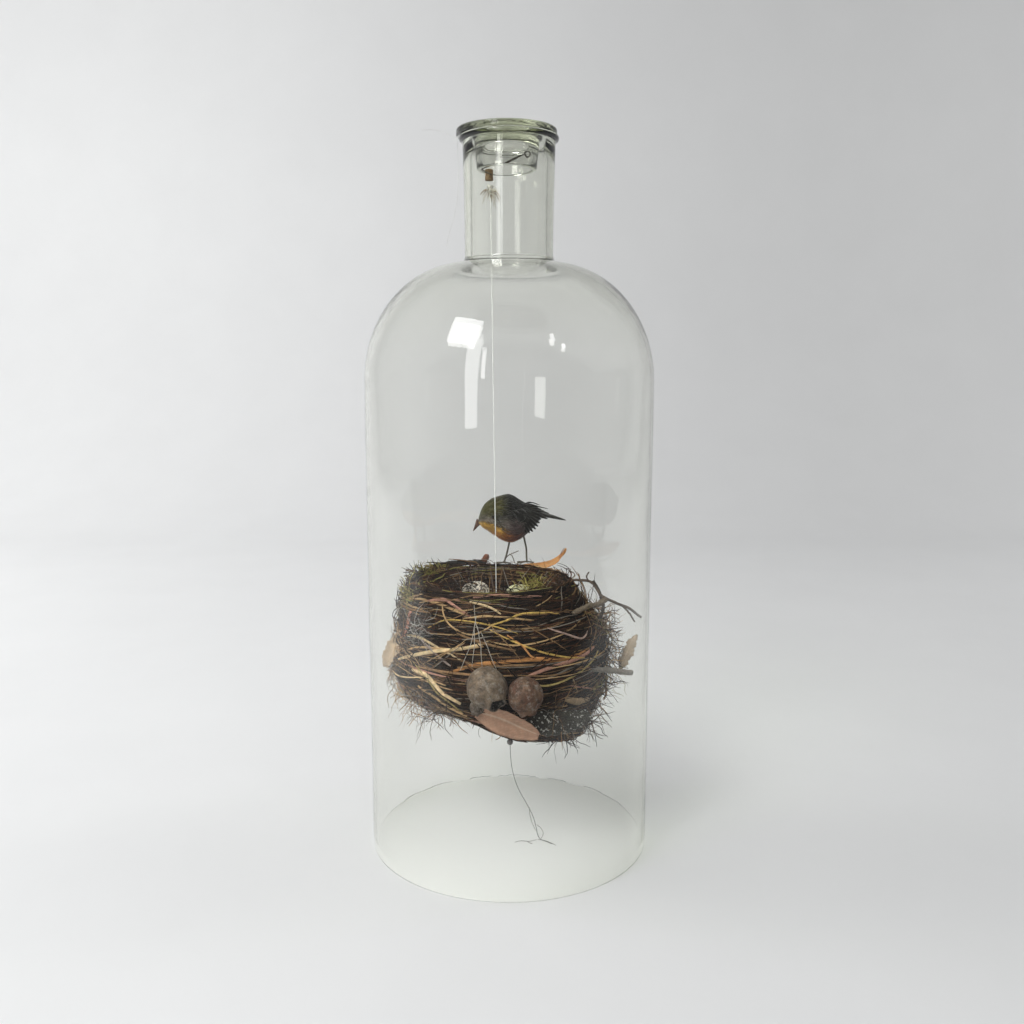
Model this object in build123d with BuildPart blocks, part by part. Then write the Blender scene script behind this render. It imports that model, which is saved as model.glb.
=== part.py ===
from build123d import *
import math
import os

# Bell jar dome: a bottomless glass jar standing on its foot, a loose glass stopper in its neck,
# and a bird's nest hung inside the jar from the stopper by one nylon line.
# Millimetres. Z is up, the origin is the centre of the foot on the floor, and -Y is the front.

# ---------------------------------------------------------------- driving dimensions
body_radius = 125.0
body_wall = 3.0
body_height = 413.5
shoulder_rise = 101.25
neck_radius = 37.8
neck_bore = 31.5
neck_root_fillet = 6.0
lip_radius = 42.0
lip_thickness = 4.0
lip_top = 618.1
foot_round = 1.0

stopper_shift = -2.0
flange_radius = 42.4
flange_thickness = 5.6
flange_bevel = 1.2
plug_top_radius = 28.5
plug_bottom_radius = 25.5
plug_length = 27.5
plug_wall = 4.0
cavity_depth = 22.5

wire_radius = 0.6
wire_eye_radius = 3.0
toggle_radius = 3.4
toggle_length = 9.5
line_radius = 0.4
thread_radius = 0.3

hang_x = -15.5
hang_z = 573.0
line_foot_x = -11.5

nest_x = -8.0
nest_y = 2.0
nest_width = 93.0
nest_depth = 84.0
nest_bottom = 93.0
nest_rim = 238.0
cup_radius = 60.0
cup_floor = 207.0
lining_thickness = 6.0

egg_length = 26.0
egg_width = 19.0
gumnut_length = 35.0
gumnut_radius = 16.5

bird_y = 80.0
bird_middle_z = 282.0

os.makedirs("parts", exist_ok=True)


# ---------------------------------------------------------------- helpers
def rod(points, radius, bend):
    """A round rod along straight runs joined by tangent arcs."""
    with BuildPart() as solid:
        with BuildLine() as path:
            if len(points) == 2:
                Line(*points)
            else:
                FilletPolyline(*points, radius=bend)
        with BuildSketch(Plane(origin=path.line @ 0, z_dir=path.line % 0)):
            Circle(radius)
        sweep()
    return solid.part


def cord_bends(points):
    """The arc radius for each corner of a cord: 0.45 of the shorter run over tan(half the turn)."""
    places = [Vector(*p) for p in points]
    radii = []
    for before, corner, after in zip(places, places[1:], places[2:]):
        run_in = corner - before
        run_out = after - corner
        half_turn = math.radians(run_in.get_angle(run_out)) / 2
        radii.append(0.45 * min(run_in.length, run_out.length) / math.tan(half_turn))
    return radii


def cord(points, radius, name):
    """A cord's plain tube, with its bend radii and its length printed."""
    radii = cord_bends(points)
    tube = rod(points, radius, radii)
    length = tube.volume / (math.pi * radius**2)
    print(name, "length", round(length, 1), "bends", [round(r, 1) for r in radii])
    return tube


def keep(solid, name):
    """Label a finished piece and write it."""
    solid.label = name
    export_step(solid, f"parts/{name}.step")


def pointing(origin, direction):
    """A plane at origin whose normal runs along direction."""
    return Plane(origin=origin, z_dir=direction)


# ---------------------------------------------------------------- glass jar
inner_radius = body_radius - body_wall
inner_rise = shoulder_rise - body_wall
neck_base = body_height + shoulder_rise

with BuildPart() as dome_shell:
    with BuildSketch(Plane.XZ) as jar_section:
        with BuildLine():
            outer_wall = Line((body_radius, 0), (body_radius, body_height))
            outer_shoulder = EllipticalCenterArc(
                (neck_radius, body_height),
                body_radius - neck_radius,
                shoulder_rise,
                start_angle=0,
                arc_size=90,
            )
            inner_shoulder = EllipticalCenterArc(
                (neck_bore, body_height),
                inner_radius - neck_bore,
                inner_rise,
                start_angle=0,
                arc_size=90,
            )
            Polyline(
                outer_shoulder @ 1,
                (neck_radius, lip_top - lip_thickness),
                (lip_radius, lip_top - lip_thickness),
                (lip_radius, lip_top),
                (neck_bore, lip_top),
                inner_shoulder @ 1,
            )
            Polyline(inner_shoulder @ 0, (inner_radius, 0), outer_wall @ 0)
        make_face()
        corners = jar_section.vertices()
        root_corner = corners.sort_by_distance((neck_radius, neck_base))[0]
        inner_corner = corners.sort_by_distance((neck_bore, body_height + inner_rise))[0]
        fillet([root_corner, inner_corner], neck_root_fillet)
        foot = jar_section.vertices().sort_by(Axis.Y)[0:2]
        fillet(foot, foot_round)
        lip_corners = jar_section.vertices().filter_by_position(Axis.X, lip_radius - 0.1, lip_radius + 0.1)
        fillet(lip_corners, foot_round)
    revolve(axis=Axis.Z)
dome_shell.part.label = "dome_shell"
export_step(dome_shell.part, "parts/dome_shell.step")

# ---------------------------------------------------------------- glass stopper
plug_bottom = lip_top - plug_length
cavity_radius = plug_bottom_radius - plug_wall
cavity_top_radius = cavity_radius + 1.2

with BuildPart() as stopper:
    with BuildSketch(Plane.XZ) as stopper_section:
        with BuildLine():
            Polyline(
                (0, lip_top + flange_thickness),
                (flange_radius - flange_bevel, lip_top + flange_thickness),
                (flange_radius, lip_top + flange_thickness - flange_bevel),
                (flange_radius, lip_top),
                (plug_top_radius, lip_top),
                (plug_bottom_radius, plug_bottom),
                (cavity_radius, plug_bottom),
                (cavity_top_radius, plug_bottom + cavity_depth),
                (0, plug_bottom + cavity_depth),
                close=True,
            )
        make_face()
    revolve(axis=Axis.Z)
    fillet(stopper.edges().filter_by(GeomType.CIRCLE).sort_by(Axis.Z)[0:2], foot_round)
stopper.part.label = "stopper"
stopper.part.move(Location((stopper_shift, 0, 0)))
export_step(stopper.part, "parts/stopper.step")

# ---------------------------------------------------------------- wire and toggle in the plug
wire_left = (stopper_shift - cavity_radius, 0, plug_bottom + 1.5)
wire_right = (stopper_shift + cavity_radius - 2 * wire_eye_radius, 0, plug_bottom + 14.0)
eye_center = (wire_right[0] + wire_eye_radius, 0, wire_right[2] + 0.9)
toggle_center = (-16.8, 0, 587.0)

with BuildPart() as hanger_wire:
    add(rod([wire_right, wire_left], wire_radius, 0))
    with Locations(pointing(eye_center, (0.25, 0.97, 0))):
        Torus(wire_eye_radius, wire_radius)
    with Locations(wire_left):
        Sphere(wire_radius)
    add(rod([wire_left, toggle_center], wire_radius, 0))
hanger_wire.part.label = "hanger_wire"
export_step(hanger_wire.part, "parts/hanger_wire.step")

with BuildPart() as hanger_toggle:
    with Locations(Location(toggle_center, (0, 8, 0))):
        Cylinder(toggle_radius, toggle_length)
    fillet(hanger_toggle.edges(), 0.8)
hanger_toggle.part.label = "hanger_toggle"
export_step(hanger_toggle.part, "parts/hanger_toggle.step")


# ---------------------------------------------------------------- nylon line
hang_point = (hang_x, 0, hang_z)
line_foot = (line_foot_x, 0, cup_floor + lining_thickness + 0.6)

with BuildPart() as line_knot:
    with Locations((hang_x, 0, hang_z + 3)):
        Sphere(3.2)
    with Locations((hang_x, 0, hang_z - 1.5)):
        Cone(1.2, 2.6, 5)
line_knot.part.label = "line_knot"
export_step(line_knot.part, "parts/line_knot.step")

with BuildPart() as suspension_line:
    add(rod([(hang_x, 0, hang_z - 4.4), line_foot], line_radius, 0))
suspension_line.part.label = "suspension_line"
export_step(suspension_line.part, "parts/suspension_line.step")

# the line runs on through the nest to a knot under it
with BuildPart() as lower_knot:
    with Locations((0.8, -60, 111)):
        Sphere(2.6)
lower_knot.part.label = "lower_knot"
export_step(lower_knot.part, "parts/lower_knot.step")

# the spare end of the line hangs from that knot and its last part lies on the floor
tail_route = [
    (0.9, -61.0, 108.6),
    (1.1, -58.5, 97.0),
    (3.0, -52.0, 80.0),
    (7.8, -43.0, 61.0),
    (15.5, -33.0, 43.0),
    (21.5, -25.5, 27.5),
    (24.5, -20.0, 14.0),
    (25.8, -17.0, 5.0),
    (28.5, -17.5, 0.7),
    (33.5, -20.0, 0.5),
    (38.5, -25.0, 0.5),
]
keep(cord(tail_route, thread_radius, "line_tail"), "line_tail")

# the line's two spare ends come out between the stopper's flange and the lip
upper_end_route = [
    (-42.8, 0.0, 617.4),
    (-47.0, 0.4, 618.0),
    (-53.5, 0.8, 621.4),
    (-60.0, 1.0, 623.6),
    (-66.5, 0.6, 624.2),
    (-73.0, -0.6, 623.4),
]
keep(cord(upper_end_route, thread_radius, "loose_end_upper"), "loose_end_upper")

lower_end_route = [
    (-42.6, -6.0, 617.2),
    (-43.4, -6.2, 610.0),
    (-43.0, -6.0, 596.0),
    (-42.6, -5.4, 580.0),
    (-43.6, -4.6, 565.0),
    (-46.6, -3.8, 551.0),
    (-51.4, -3.6, 538.0),
    (-53.4, -3.8, 528.0),
]
keep(cord(lower_end_route, thread_radius, "loose_end_lower"), "loose_end_lower")

# ---------------------------------------------------------------- nest
nest_plan_ratio = nest_depth / nest_width

with BuildPart() as nest_wall:
    with BuildSketch(Plane.XZ):
        with BuildLine():
            bowl = Spline(
                (0, nest_bottom),
                (42, nest_bottom + 5),
                (72, 118),
                (90, 150),
                (nest_width, 186),
                (88, 222),
                (77, nest_rim),
                tangents=((1, 0), (-1, 0.2)),
            )
            cup = Spline(
                bowl @ 1,
                (cup_radius + 5, nest_rim - 5),
                (cup_radius - 3, 222),
                (cup_radius - 12, cup_floor + 3),
                (cup_radius - 30, cup_floor),
                tangents=((-1, 0.2), (-1, 0)),
            )
            Polyline(cup @ 1, (0, cup_floor), bowl @ 0)
        make_face()
    revolve(axis=Axis.Z)
    scale(by=(1, nest_plan_ratio, 1))
nest_wall.part.label = "nest_wall"
nest_wall.part.move(Location((nest_x, nest_y, 0)))
export_step(nest_wall.part, "parts/nest_wall.step")

with BuildPart() as nest_lining:
    with BuildSketch(Plane.XZ):
        with BuildLine():
            under = Spline(
                (0, cup_floor),
                (cup_radius - 30, cup_floor),
                (cup_radius - 12, cup_floor + 3),
                (cup_radius - 4.5, 219),
                tangents=((1, 0), (0.3, 1)),
            )
            over = Spline(
                (0, cup_floor + lining_thickness),
                (cup_radius - 34, cup_floor + lining_thickness),
                (cup_radius - 18, cup_floor + 9),
                (cup_radius - 8, 219),
                tangents=((1, 0), (0.3, 1)),
            )
            Line(under @ 1, over @ 1)
            Line(under @ 0, over @ 0)
        make_face()
    revolve(axis=Axis.Z)
    scale(by=(1, nest_plan_ratio, 1))
nest_lining.part.label = "nest_lining"
nest_lining.part.move(Location((nest_x, nest_y, 0)))
export_step(nest_lining.part, "parts/nest_lining.step")

# ---------------------------------------------------------------- moss
def moss(center, size):
    """A soft lump of moss."""
    with BuildPart() as lump:
        Sphere(1)
        scale(by=size)
    return lump.part.moved(Location(center))


keep(moss((-80, 32, 231), (15, 12, 9)), "moss_left")
keep(moss((24, 36, 224), (17, 9, 10)), "moss_right")

# ---------------------------------------------------------------- eggs
def egg(center, turn):
    """An egg lying in the cup, its long axis turned about Z."""
    big_end = egg_length * 0.42
    with BuildPart() as shell:
        with BuildSketch(Plane.XZ):
            with BuildLine():
                blunt = EllipticalCenterArc((0, 0), big_end, egg_width / 2, start_angle=90, arc_size=90)
                sharp = EllipticalCenterArc((0, 0), egg_length - big_end, egg_width / 2, start_angle=0, arc_size=90)
                Line(blunt @ 1, sharp @ 0)
            make_face()
        revolve(axis=Axis.X)
    return shell.part.moved(Location(center, turn))


keep(egg((-29, 21, 223.5), (0, 0, 160)), "egg_left")
keep(egg((7, 8, 223.5), (0, 0, 20)), "egg_right")

# ---------------------------------------------------------------- gumnuts
def gumnut(center, direction):
    """A woody seed cup: a round belly drawn in to a narrow rim, hollow at the mouth."""
    half = gumnut_length / 2
    with BuildPart() as nut:
        with BuildSketch(Plane.XZ):
            with BuildLine():
                belly = Spline(
                    (1.6, -half),
                    (11.5, -half + 6),
                    (gumnut_radius, -1),
                    (10.5, half - 7),
                    (8.2, half - 3),
                    (8.8, half),
                    tangents=((1, 0.3), (0.3, 1)),
                )
                Polyline(belly @ 1, (5.6, half - 0.6), (5.0, half - 10), (0, half - 11), (0, -half), belly @ 0)
            make_face()
        revolve(axis=Axis.Z)
    return nut.part.moved(pointing(center, direction).location)


keep(gumnut((-17.6, -93, 170), (0.45, -0.15, -0.88)), "gumnut_left")
keep(gumnut((17.5, -92.5, 163), (-0.62, -0.1, -0.6)), "gumnut_right")
keep(moss((-26, -82, 149), (5.4, 5, 5)), "gumnut_bud")

# ---------------------------------------------------------------- leaves and bark under the nest
def blade(length, width, thickness, plane):
    """A flat leaf: two arcs meeting at its tips."""
    half = length / 2
    with BuildPart() as leaf:
        with BuildSketch(plane):
            with BuildLine():
                ThreePointArc((-half, 0), (-0.1 * length, width / 2), (half, 0))
                ThreePointArc((half, 0), (0.05 * length, -width / 2), (-half, 0))
            make_face()
        extrude(amount=thickness)
    return leaf.part


leaf_plane = Plane(origin=(-1, -76, 127), x_dir=(0.87, 0.12, -0.46), z_dir=(0.02, -0.82, -0.57))
keep(blade(62, 25, 1.4, leaf_plane), "leaf_under")
bark_plane = Plane(origin=(40, -64, 123), x_dir=(0.93, 0.3, -0.28), z_dir=(0.2, -0.8, -0.57))
keep(blade(60, 22, 2.0, bark_plane), "bark_curl")
strip_plane = Plane(origin=(38, 84, 240), x_dir=(0.9, -0.15, 0.4), z_dir=(0.25, -0.8, -0.55))
keep(blade(46, 7, 1.2, strip_plane), "rim_strip")
paper_plane = Plane(origin=(104, -14, 176), x_dir=(-0.3, 0.1, -0.95), z_dir=(0.3, -0.94, -0.15))
keep(blade(34, 7, 0.8, paper_plane), "papery_strip")
beige_plane = Plane(origin=(-100, -18, 184), x_dir=(-0.55, 0.1, -0.83), z_dir=(-0.3, -0.94, 0.1))
keep(blade(30, 8, 0.8, beige_plane), "beige_leaf")

# ---------------------------------------------------------------- twigs and reeds
with BuildPart() as twig_fork:
    add(rod([(48, 4, 236), (73, -8, 238), (81, -16, 229), (99, -17, 217), (116.5, -15, 208)], 1.5, 3))
    add(rod([(80, -15, 230), (82, -16, 222), (79, -17, 208)], 1.1, 3))
    add(rod([(104, -17, 214.5), (112, -17, 203)], 0.9, 3))
twig_fork.part.label = "twig_fork"
export_step(twig_fork.part, "parts/twig_fork.step")

keep(rod([(55, -48, 218), (82, -42, 232)], 2.2, 0), "stub_upper")
keep(rod([(70, -46, 172), (108, -22, 160)], 2.6, 0), "stub_lower")
keep(rod([(-88, 20, 243), (-78, 26, 231), (-62, 34, 226)], 1.2, 4), "twig_left")
keep(rod([(-74, 62, 240), (-46, 74, 240), (-24, 78, 239)], 2.0, 20), "rim_stick")
keep(rod([(-97, -38, 178), (-62, -72, 187), (-14, -82, 202)], 1.4, 60), "straw_left")
keep(rod([(-50, -74, 189), (-8, -83, 194), (50, -66, 197)], 1.5, 90), "reed_front")
keep(rod([(-78, -56, 158), (-50, -72, 157), (-36, -78, 146)], 2.0, 25), "straw_pale")
keep(rod([(36, -77, 178), (60, -65, 186), (84, -38, 188)], 1.8, 50), "bark_strip")

# ---------------------------------------------------------------- bird
# x of each section, then its middle height and its half height and half width
bird_sections = [
    (-30.0, 280.0, 3.4, 3.4),
    (-26.5, 283.0, 9.5, 8.5),
    (-19.0, 284.5, 15.8, 13.0),
    (-9.0, 283.0, 21.0, 16.5),
    (1.0, 282.0, 23.3, 17.5),
    (11.0, 281.0, 18.5, 15.5),
    (20.0, 282.5, 12.5, 11.5),
    (29.0, 286.0, 5.0, 7.0),
]
with BuildPart() as bird_body:
    for x, z, half_height, half_width in bird_sections:
        with BuildSketch(Plane(origin=(x, bird_y, z), x_dir=(0, 1, 0), z_dir=(1, 0, 0))):
            Ellipse(half_width, half_height)
    loft()
bird_body.part.label = "bird_body"
export_step(bird_body.part, "parts/bird_body.step")


def beak(side):
    """Half of the beak, cut along its length: side 1 is the upper half, -1 the lower."""
    base = (-29.0, bird_y, 280.0)
    direction = (-6.3, 0, -10.5)
    along = Plane(origin=base, x_dir=(0, 1, 0), z_dir=direction)
    with BuildPart() as half:
        with BuildSketch(along):
            Ellipse(2.6, 3.4)
        with BuildSketch(along.offset(12.2)):
            Ellipse(0.3, 0.3)
        loft()
        cut = Plane(origin=base, x_dir=(0, 1, 0), z_dir=(-10.5, 0, 6.3))
        split(bisect_by=cut, keep=Keep.TOP if side > 0 else Keep.BOTTOM)
    return half.part


keep(beak(1), "beak_upper")
keep(beak(-1), "beak_lower")


def wing(side):
    """A folded wing: a thin blade down the bird's side, its feathers' tips standing off behind."""
    face = Plane(origin=(0, bird_y + side * 15.5, 0), x_dir=(1, 0, 0), z_dir=(0, -1, 0))
    with BuildPart() as blade_part:
        with BuildSketch(face.offset(-1.2)):
            with BuildLine():
                top = Spline((-8, 291), (6, 299), (22, 297), (38, 292.5))
                tip = Spline((38, 292.5), (32, 283), (22, 273), (8, 268))
                Spline((8, 268), (-4, 276), (-8, 291))
            make_face()
        extrude(amount=2.4)
    return blade_part.part


keep(wing(-1), "wing_left")
keep(wing(1), "wing_right")

with BuildPart() as bird_tail:
    with BuildSketch(Plane(origin=(38, bird_y, 284.5), x_dir=(0.97, 0, -0.22), z_dir=(0.22, 0, 0.97))):
        Trapezoid(14, 31, 84, rotation=90)
    extrude(amount=1.0, both=True)
bird_tail.part.label = "bird_tail"
export_step(bird_tail.part, "parts/bird_tail.step")

with BuildPart() as bird_eyes:
    with Locations((-15, bird_y - 13.8, 285), (-15, bird_y + 13.8, 285)):
        Sphere(1.9)
bird_eyes.part.label = "bird_eyes"
export_step(bird_eyes.part, "parts/bird_eyes.step")


def leg(hip, knee, foot):
    """One leg with three toes forward and one back."""
    toes = [(-9, -3, -1), (-9.5, 0, -0.5), (-8, 3.5, -1), (7, 0, -1)]
    with BuildPart() as whole:
        add(rod([hip, knee, foot], 0.9, 4))
        with Locations(foot):
            Sphere(1.1)
        for dx, dy, dz in toes:
            tip = (foot[0] + dx, foot[1] + dy, foot[2] + dz)
            add(rod([foot, tip], 0.7, 0))
    return whole.part


keep(leg((0.6, 76, 262), (-2.3, 76, 249), (-5.2, 76, 239.6)), "leg_left")
keep(leg((13.6, 84, 266), (16.5, 83, 252), (17.0, 80, 239.6)), "leg_right")
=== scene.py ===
import math

import bpy
import numpy as np
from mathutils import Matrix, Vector


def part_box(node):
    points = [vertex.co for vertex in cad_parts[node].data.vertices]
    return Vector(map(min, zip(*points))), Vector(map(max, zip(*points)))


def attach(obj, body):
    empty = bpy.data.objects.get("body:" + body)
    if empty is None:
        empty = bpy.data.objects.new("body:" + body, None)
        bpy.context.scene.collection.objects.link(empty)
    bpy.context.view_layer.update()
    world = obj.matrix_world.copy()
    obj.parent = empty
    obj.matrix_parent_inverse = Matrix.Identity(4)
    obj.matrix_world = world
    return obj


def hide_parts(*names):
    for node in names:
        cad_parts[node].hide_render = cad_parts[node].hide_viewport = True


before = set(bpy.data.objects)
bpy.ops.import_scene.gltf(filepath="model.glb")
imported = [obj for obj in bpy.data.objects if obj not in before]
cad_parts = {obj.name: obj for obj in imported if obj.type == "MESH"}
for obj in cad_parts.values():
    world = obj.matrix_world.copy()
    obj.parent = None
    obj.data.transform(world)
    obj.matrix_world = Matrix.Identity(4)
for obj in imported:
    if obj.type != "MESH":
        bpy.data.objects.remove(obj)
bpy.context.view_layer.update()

# Bell jar dome with a hung nest. Lengths in this script are millimetres, and MM turns them into
# Blender's metres. +Z is up and -Y is the front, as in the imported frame.
MM = 0.001
rng = np.random.default_rng(11)
uniform, normal = rng.uniform, rng.normal


def place(node):
    """Centre and half size of a CAD node's box, in millimetres."""
    low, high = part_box(node)
    low = np.array(low) / MM
    high = np.array(high) / MM
    return (low + high) / 2, (high - low) / 2


# ---------------------------------------------------------------- camera
CAMERA_PLACE = (2.5, -868.7, 431.6)
CAMERA_DOWN = math.radians(8.6)
CAMERA_LENS = 34.88

camera_data = bpy.data.cameras.new("camera")
camera_data.lens = CAMERA_LENS
camera_data.sensor_width = 36.0
camera_data.clip_start = 0.01
camera = bpy.data.objects.new("camera", camera_data)
camera.location = [v * MM for v in CAMERA_PLACE]
camera.rotation_euler = (math.radians(90) - CAMERA_DOWN, 0, 0)
bpy.context.scene.collection.objects.link(camera)
bpy.context.scene.camera = camera


# ---------------------------------------------------------------- material helpers
class Tree:
    """A node tree, with short calls for the nodes that this script uses."""

    def __init__(self, owner):
        owner.use_nodes = True
        self.nodes = owner.node_tree.nodes
        self.links = owner.node_tree.links
        self.nodes.clear()

    def feed(self, node, inputs):
        """Each input gets its value, or a link if the value is another node's socket."""
        for key, value in inputs.items():
            if isinstance(value, bpy.types.NodeSocket):
                self.links.new(value, node.inputs[key])
            else:
                node.inputs[key].default_value = value

    def node(self, kind, inputs=None, **settings):
        made = self.nodes.new(kind)
        for key, value in settings.items():
            setattr(made, key, value)
        self.feed(made, inputs or {})
        return made

    def ramp(self, fac, *stops):
        """Colours along fac: each stop is (position, (r, g, b))."""
        ramp = self.node("ShaderNodeValToRGB", {"Fac": fac})
        while len(ramp.color_ramp.elements) < len(stops):
            ramp.color_ramp.elements.new(0.5)
        for element, (position, colour) in zip(ramp.color_ramp.elements, stops):
            element.position = position
            element.color = (*colour, 1)
        return ramp.outputs["Color"]

    def spread(self, value, low, high, start=0.0, end=1.0, **settings):
        """A value that runs from start to end, made to run from low to high."""
        inputs = {"Value": value, "From Min": start, "From Max": end, "To Min": low, "To Max": high}
        return self.node("ShaderNodeMapRange", inputs, **settings).outputs["Result"]


class Shader(Tree):
    """A material with one Principled surface."""

    def __init__(self, name):
        self.material = bpy.data.materials.new(name)
        super().__init__(self.material)
        self.surface = self.node("ShaderNodeBsdfPrincipled")
        self.out = self.node("ShaderNodeOutputMaterial", {"Surface": self.surface.outputs["BSDF"]})

    def set(self, **values):
        """Values or sockets for the surface's inputs, whose names have _ for a space."""
        self.feed(self.surface, {key.replace("_", " "): value for key, value in values.items()})

    def noise(self, size_mm, detail=4.0, rough=0.55, scale=(1, 1, 1)):
        """Noise whose blobs are about size_mm across, stretched by scale."""
        where = self.node("ShaderNodeTexCoord").outputs["Object"]
        size = self.node("ShaderNodeMapping", {"Vector": where, "Scale": [s / MM for s in scale]})
        grain = {
            "Vector": size.outputs["Vector"], "Scale": 1 / size_mm, "Detail": detail, "Roughness": rough,
        }
        return self.node("ShaderNodeTexNoise", grain).outputs["Fac"]

    def mask(self, fac, start, end, top=1.0):
        """Black where fac is under start, and top where it is over end."""
        return self.ramp(fac, (start, (0, 0, 0)), (end, (top, top, top)))

    def mix(self, fac, a, b, blend="MIX"):
        """Two colours mixed by fac, which is a number or a socket."""
        a, b = ((*c, 1) if isinstance(c, tuple) else c for c in (a, b))
        mixer = self.node("ShaderNodeMix", data_type="RGBA", blend_type=blend)
        self.feed(mixer, {0: fac, 6: a, 7: b})
        return mixer.outputs[2]

    def tinted(self, mottle):
        """The colour stored on the mesh, one per strand or feather, multiplied by a mottle."""
        stored = self.node("ShaderNodeAttribute", attribute_name="tint")
        return self.mix(1.0, stored.outputs["Color"], mottle, "MULTIPLY")

    def bump(self, fac, depth_mm):
        raised = self.node("ShaderNodeBump", {"Height": fac, "Distance": depth_mm * MM, "Strength": 1.0})
        self.set(Normal=raised.outputs["Normal"])


def dry(s, colour, grain, rough, bump, bump_mm, **values):
    """The end of a dry material: rough by its grain, and raised by its bump."""
    s.set(Base_Color=colour, Roughness=s.spread(grain, *rough), **values)
    s.bump(bump, bump_mm)
    return s.material


def glass(name, ior, tint, density, wave_mm, wave_depth):
    """Clear glass: its green shows where a ray runs a long way through it."""
    s = Shader(name)
    s.set(Base_Color=(1, 1, 1, 1), Roughness=0.0, IOR=ior, Transmission_Weight=1.0)
    s.bump(s.noise(wave_mm, 2.0), wave_depth)
    absorb = s.node("ShaderNodeVolumeAbsorption", {"Color": (*tint, 1), "Density": density})
    shadow = s.node("ShaderNodeLightPath").outputs["Is Shadow Ray"]
    clear = s.node("ShaderNodeBsdfTransparent", {"Color": (0.96, 0.97, 0.96, 1)}).outputs["BSDF"]
    either = s.node("ShaderNodeMixShader", {"Fac": shadow, 1: s.surface.outputs["BSDF"], 2: clear})
    s.feed(s.out, {"Volume": absorb.outputs["Volume"], "Surface": either.outputs["Shader"]})
    return s.material


def tinted(name, size_mm, rough, bump_mm, sheen=0.0, dark=0.55, streak=(1, 1, 1)):
    """A dry organic surface: each strand's own colour, mottled and rough."""
    s = Shader(name)
    grain = s.noise(size_mm, 6.0, 0.65, streak)
    colour = s.tinted(s.ramp(grain, (0.25, (dark, dark, dark)), (0.75, (1.25, 1.2, 1.15))))
    return dry(s, colour, grain, rough, grain, bump_mm, Sheen_Weight=sheen, Specular_IOR_Level=0.15)


def stained(name, size_mm, dark, mid, pale, bump_mm, rough=(0.5, 0.9), streak=(1, 1, 1)):
    """A dry surface that runs through three colours."""
    s = Shader(name)
    grain = s.noise(size_mm, 7.0, 0.62, streak)
    fine = s.noise(size_mm / 6, 5.0, 0.7, streak)
    body = s.ramp(grain, (0.3, dark), (0.52, mid), (0.72, pale))
    speck = s.ramp(fine, (0.35, (0.6, 0.6, 0.6)), (0.65, (1.15, 1.12, 1.1)))
    colour = s.mix(1.0, body, speck, "MULTIPLY")
    return dry(s, colour, grain, rough, fine, bump_mm, Specular_IOR_Level=0.25)


def speckled(name, shell, shade, spot, spot_size, amount):
    """An egg's matt shell, with soft blotches and crisp speckles."""
    s = Shader(name)
    ground = s.ramp(s.noise(7.0), (0.3, shade), (0.7, shell))
    dots = s.mask(s.noise(spot_size, 3.0, 0.7), amount, amount + 0.04)
    s.set(Base_Color=s.mix(dots, spot, ground), Roughness=0.45)
    s.bump(s.noise(0.4), 0.02)
    return s.material


def flecked(name, dark, mid, fleck, fleck_size, amount):
    """Rough dark bark with a scatter of pale flecks."""
    s = Shader(name)
    grain = s.noise(2.4, 7.0, 0.7, (0.4, 1, 1))
    flecks = s.mask(s.noise(fleck_size, 2.0, 0.6), amount, amount + 0.05)
    bark = s.ramp(grain, (0.35, dark), (0.7, mid))
    colour = s.mix(flecks, bark, fleck)
    return dry(s, colour, grain, (0.6, 0.95), grain, 0.6, Specular_IOR_Level=0.2)


def crusted(name):
    """A woody skin, mottled by its own tint, with a pale crust in patches."""
    s = Shader(name)
    grain = s.noise(4.2, 6.0, 0.7)
    crust = s.mask(s.noise(4.0, 6.0, 0.7), 0.5, 0.68, 0.5)
    wood = s.tinted(s.ramp(grain, (0.36, (0.35, 0.33, 0.3)), (0.66, (1.35, 1.25, 1.15))))
    colour = s.mix(crust, wood, (0.42, 0.38, 0.34))
    return dry(s, colour, grain, (0.45, 0.85), grain, 0.8, Specular_IOR_Level=0.3)


def sleek(name, size_mm, dark, pale, rough, stops=(0.3, 0.7), detail=4.0, **values):
    """A smooth surface that is a little uneven in colour, and in roughness if rough is a pair."""
    s = Shader(name)
    grain = s.noise(size_mm, detail)
    rough = s.spread(grain, *rough) if isinstance(rough, tuple) else rough
    s.set(Base_Color=s.ramp(grain, (stops[0], dark), (stops[1], pale)), Roughness=rough, **values)
    return s.material


def nylon(name, colour, roughness):
    """A smooth drawn thread."""
    dark = tuple(c * 0.85 for c in colour)
    return sleek(name, 4.0, dark, colour, roughness, IOR=1.5, Coat_Weight=0.4)


jar_glass = glass("jar_glass", 1.46, (0.84, 0.855, 0.765), 62.0, 30.0, 0.05)
stopper_glass = glass("stopper_glass", 1.5, (0.80, 0.82, 0.70), 38.0, 9.0, 0.06)
fibre = tinted("nest_fibre", 2.2, (0.62, 0.95), 0.12)
moss_look = tinted("moss", 0.9, (0.8, 1.0), 0.1)
feather_look = tinted("feathers", 1.1, (0.55, 0.85), 0.08, 0.25, 0.6, (0.35, 1, 1))
blade_look = tinted("leaf_skin", 5.0, (0.45, 0.7), 0.1, dark=0.75)
core_look = stained(
    "nest_core", 3.0, (0.004, 0.0025, 0.0015), (0.012, 0.007, 0.004), (0.03, 0.018, 0.011), 1.2,
    streak=(0.5, 0.5, 1.6),
)
cork_look = stained("cork", 2.0, (0.09, 0.05, 0.022), (0.24, 0.155, 0.08), (0.4, 0.29, 0.17), 0.2)
horn_look = stained(
    "horn", 1.5, (0.03, 0.018, 0.014), (0.12, 0.062, 0.045), (0.3, 0.17, 0.13), 0.03, (0.25, 0.5),
)
leg_look = stained(
    "leg_skin", 0.8, (0.06, 0.055, 0.045), (0.14, 0.125, 0.1), (0.25, 0.23, 0.18), 0.06,
)
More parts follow.
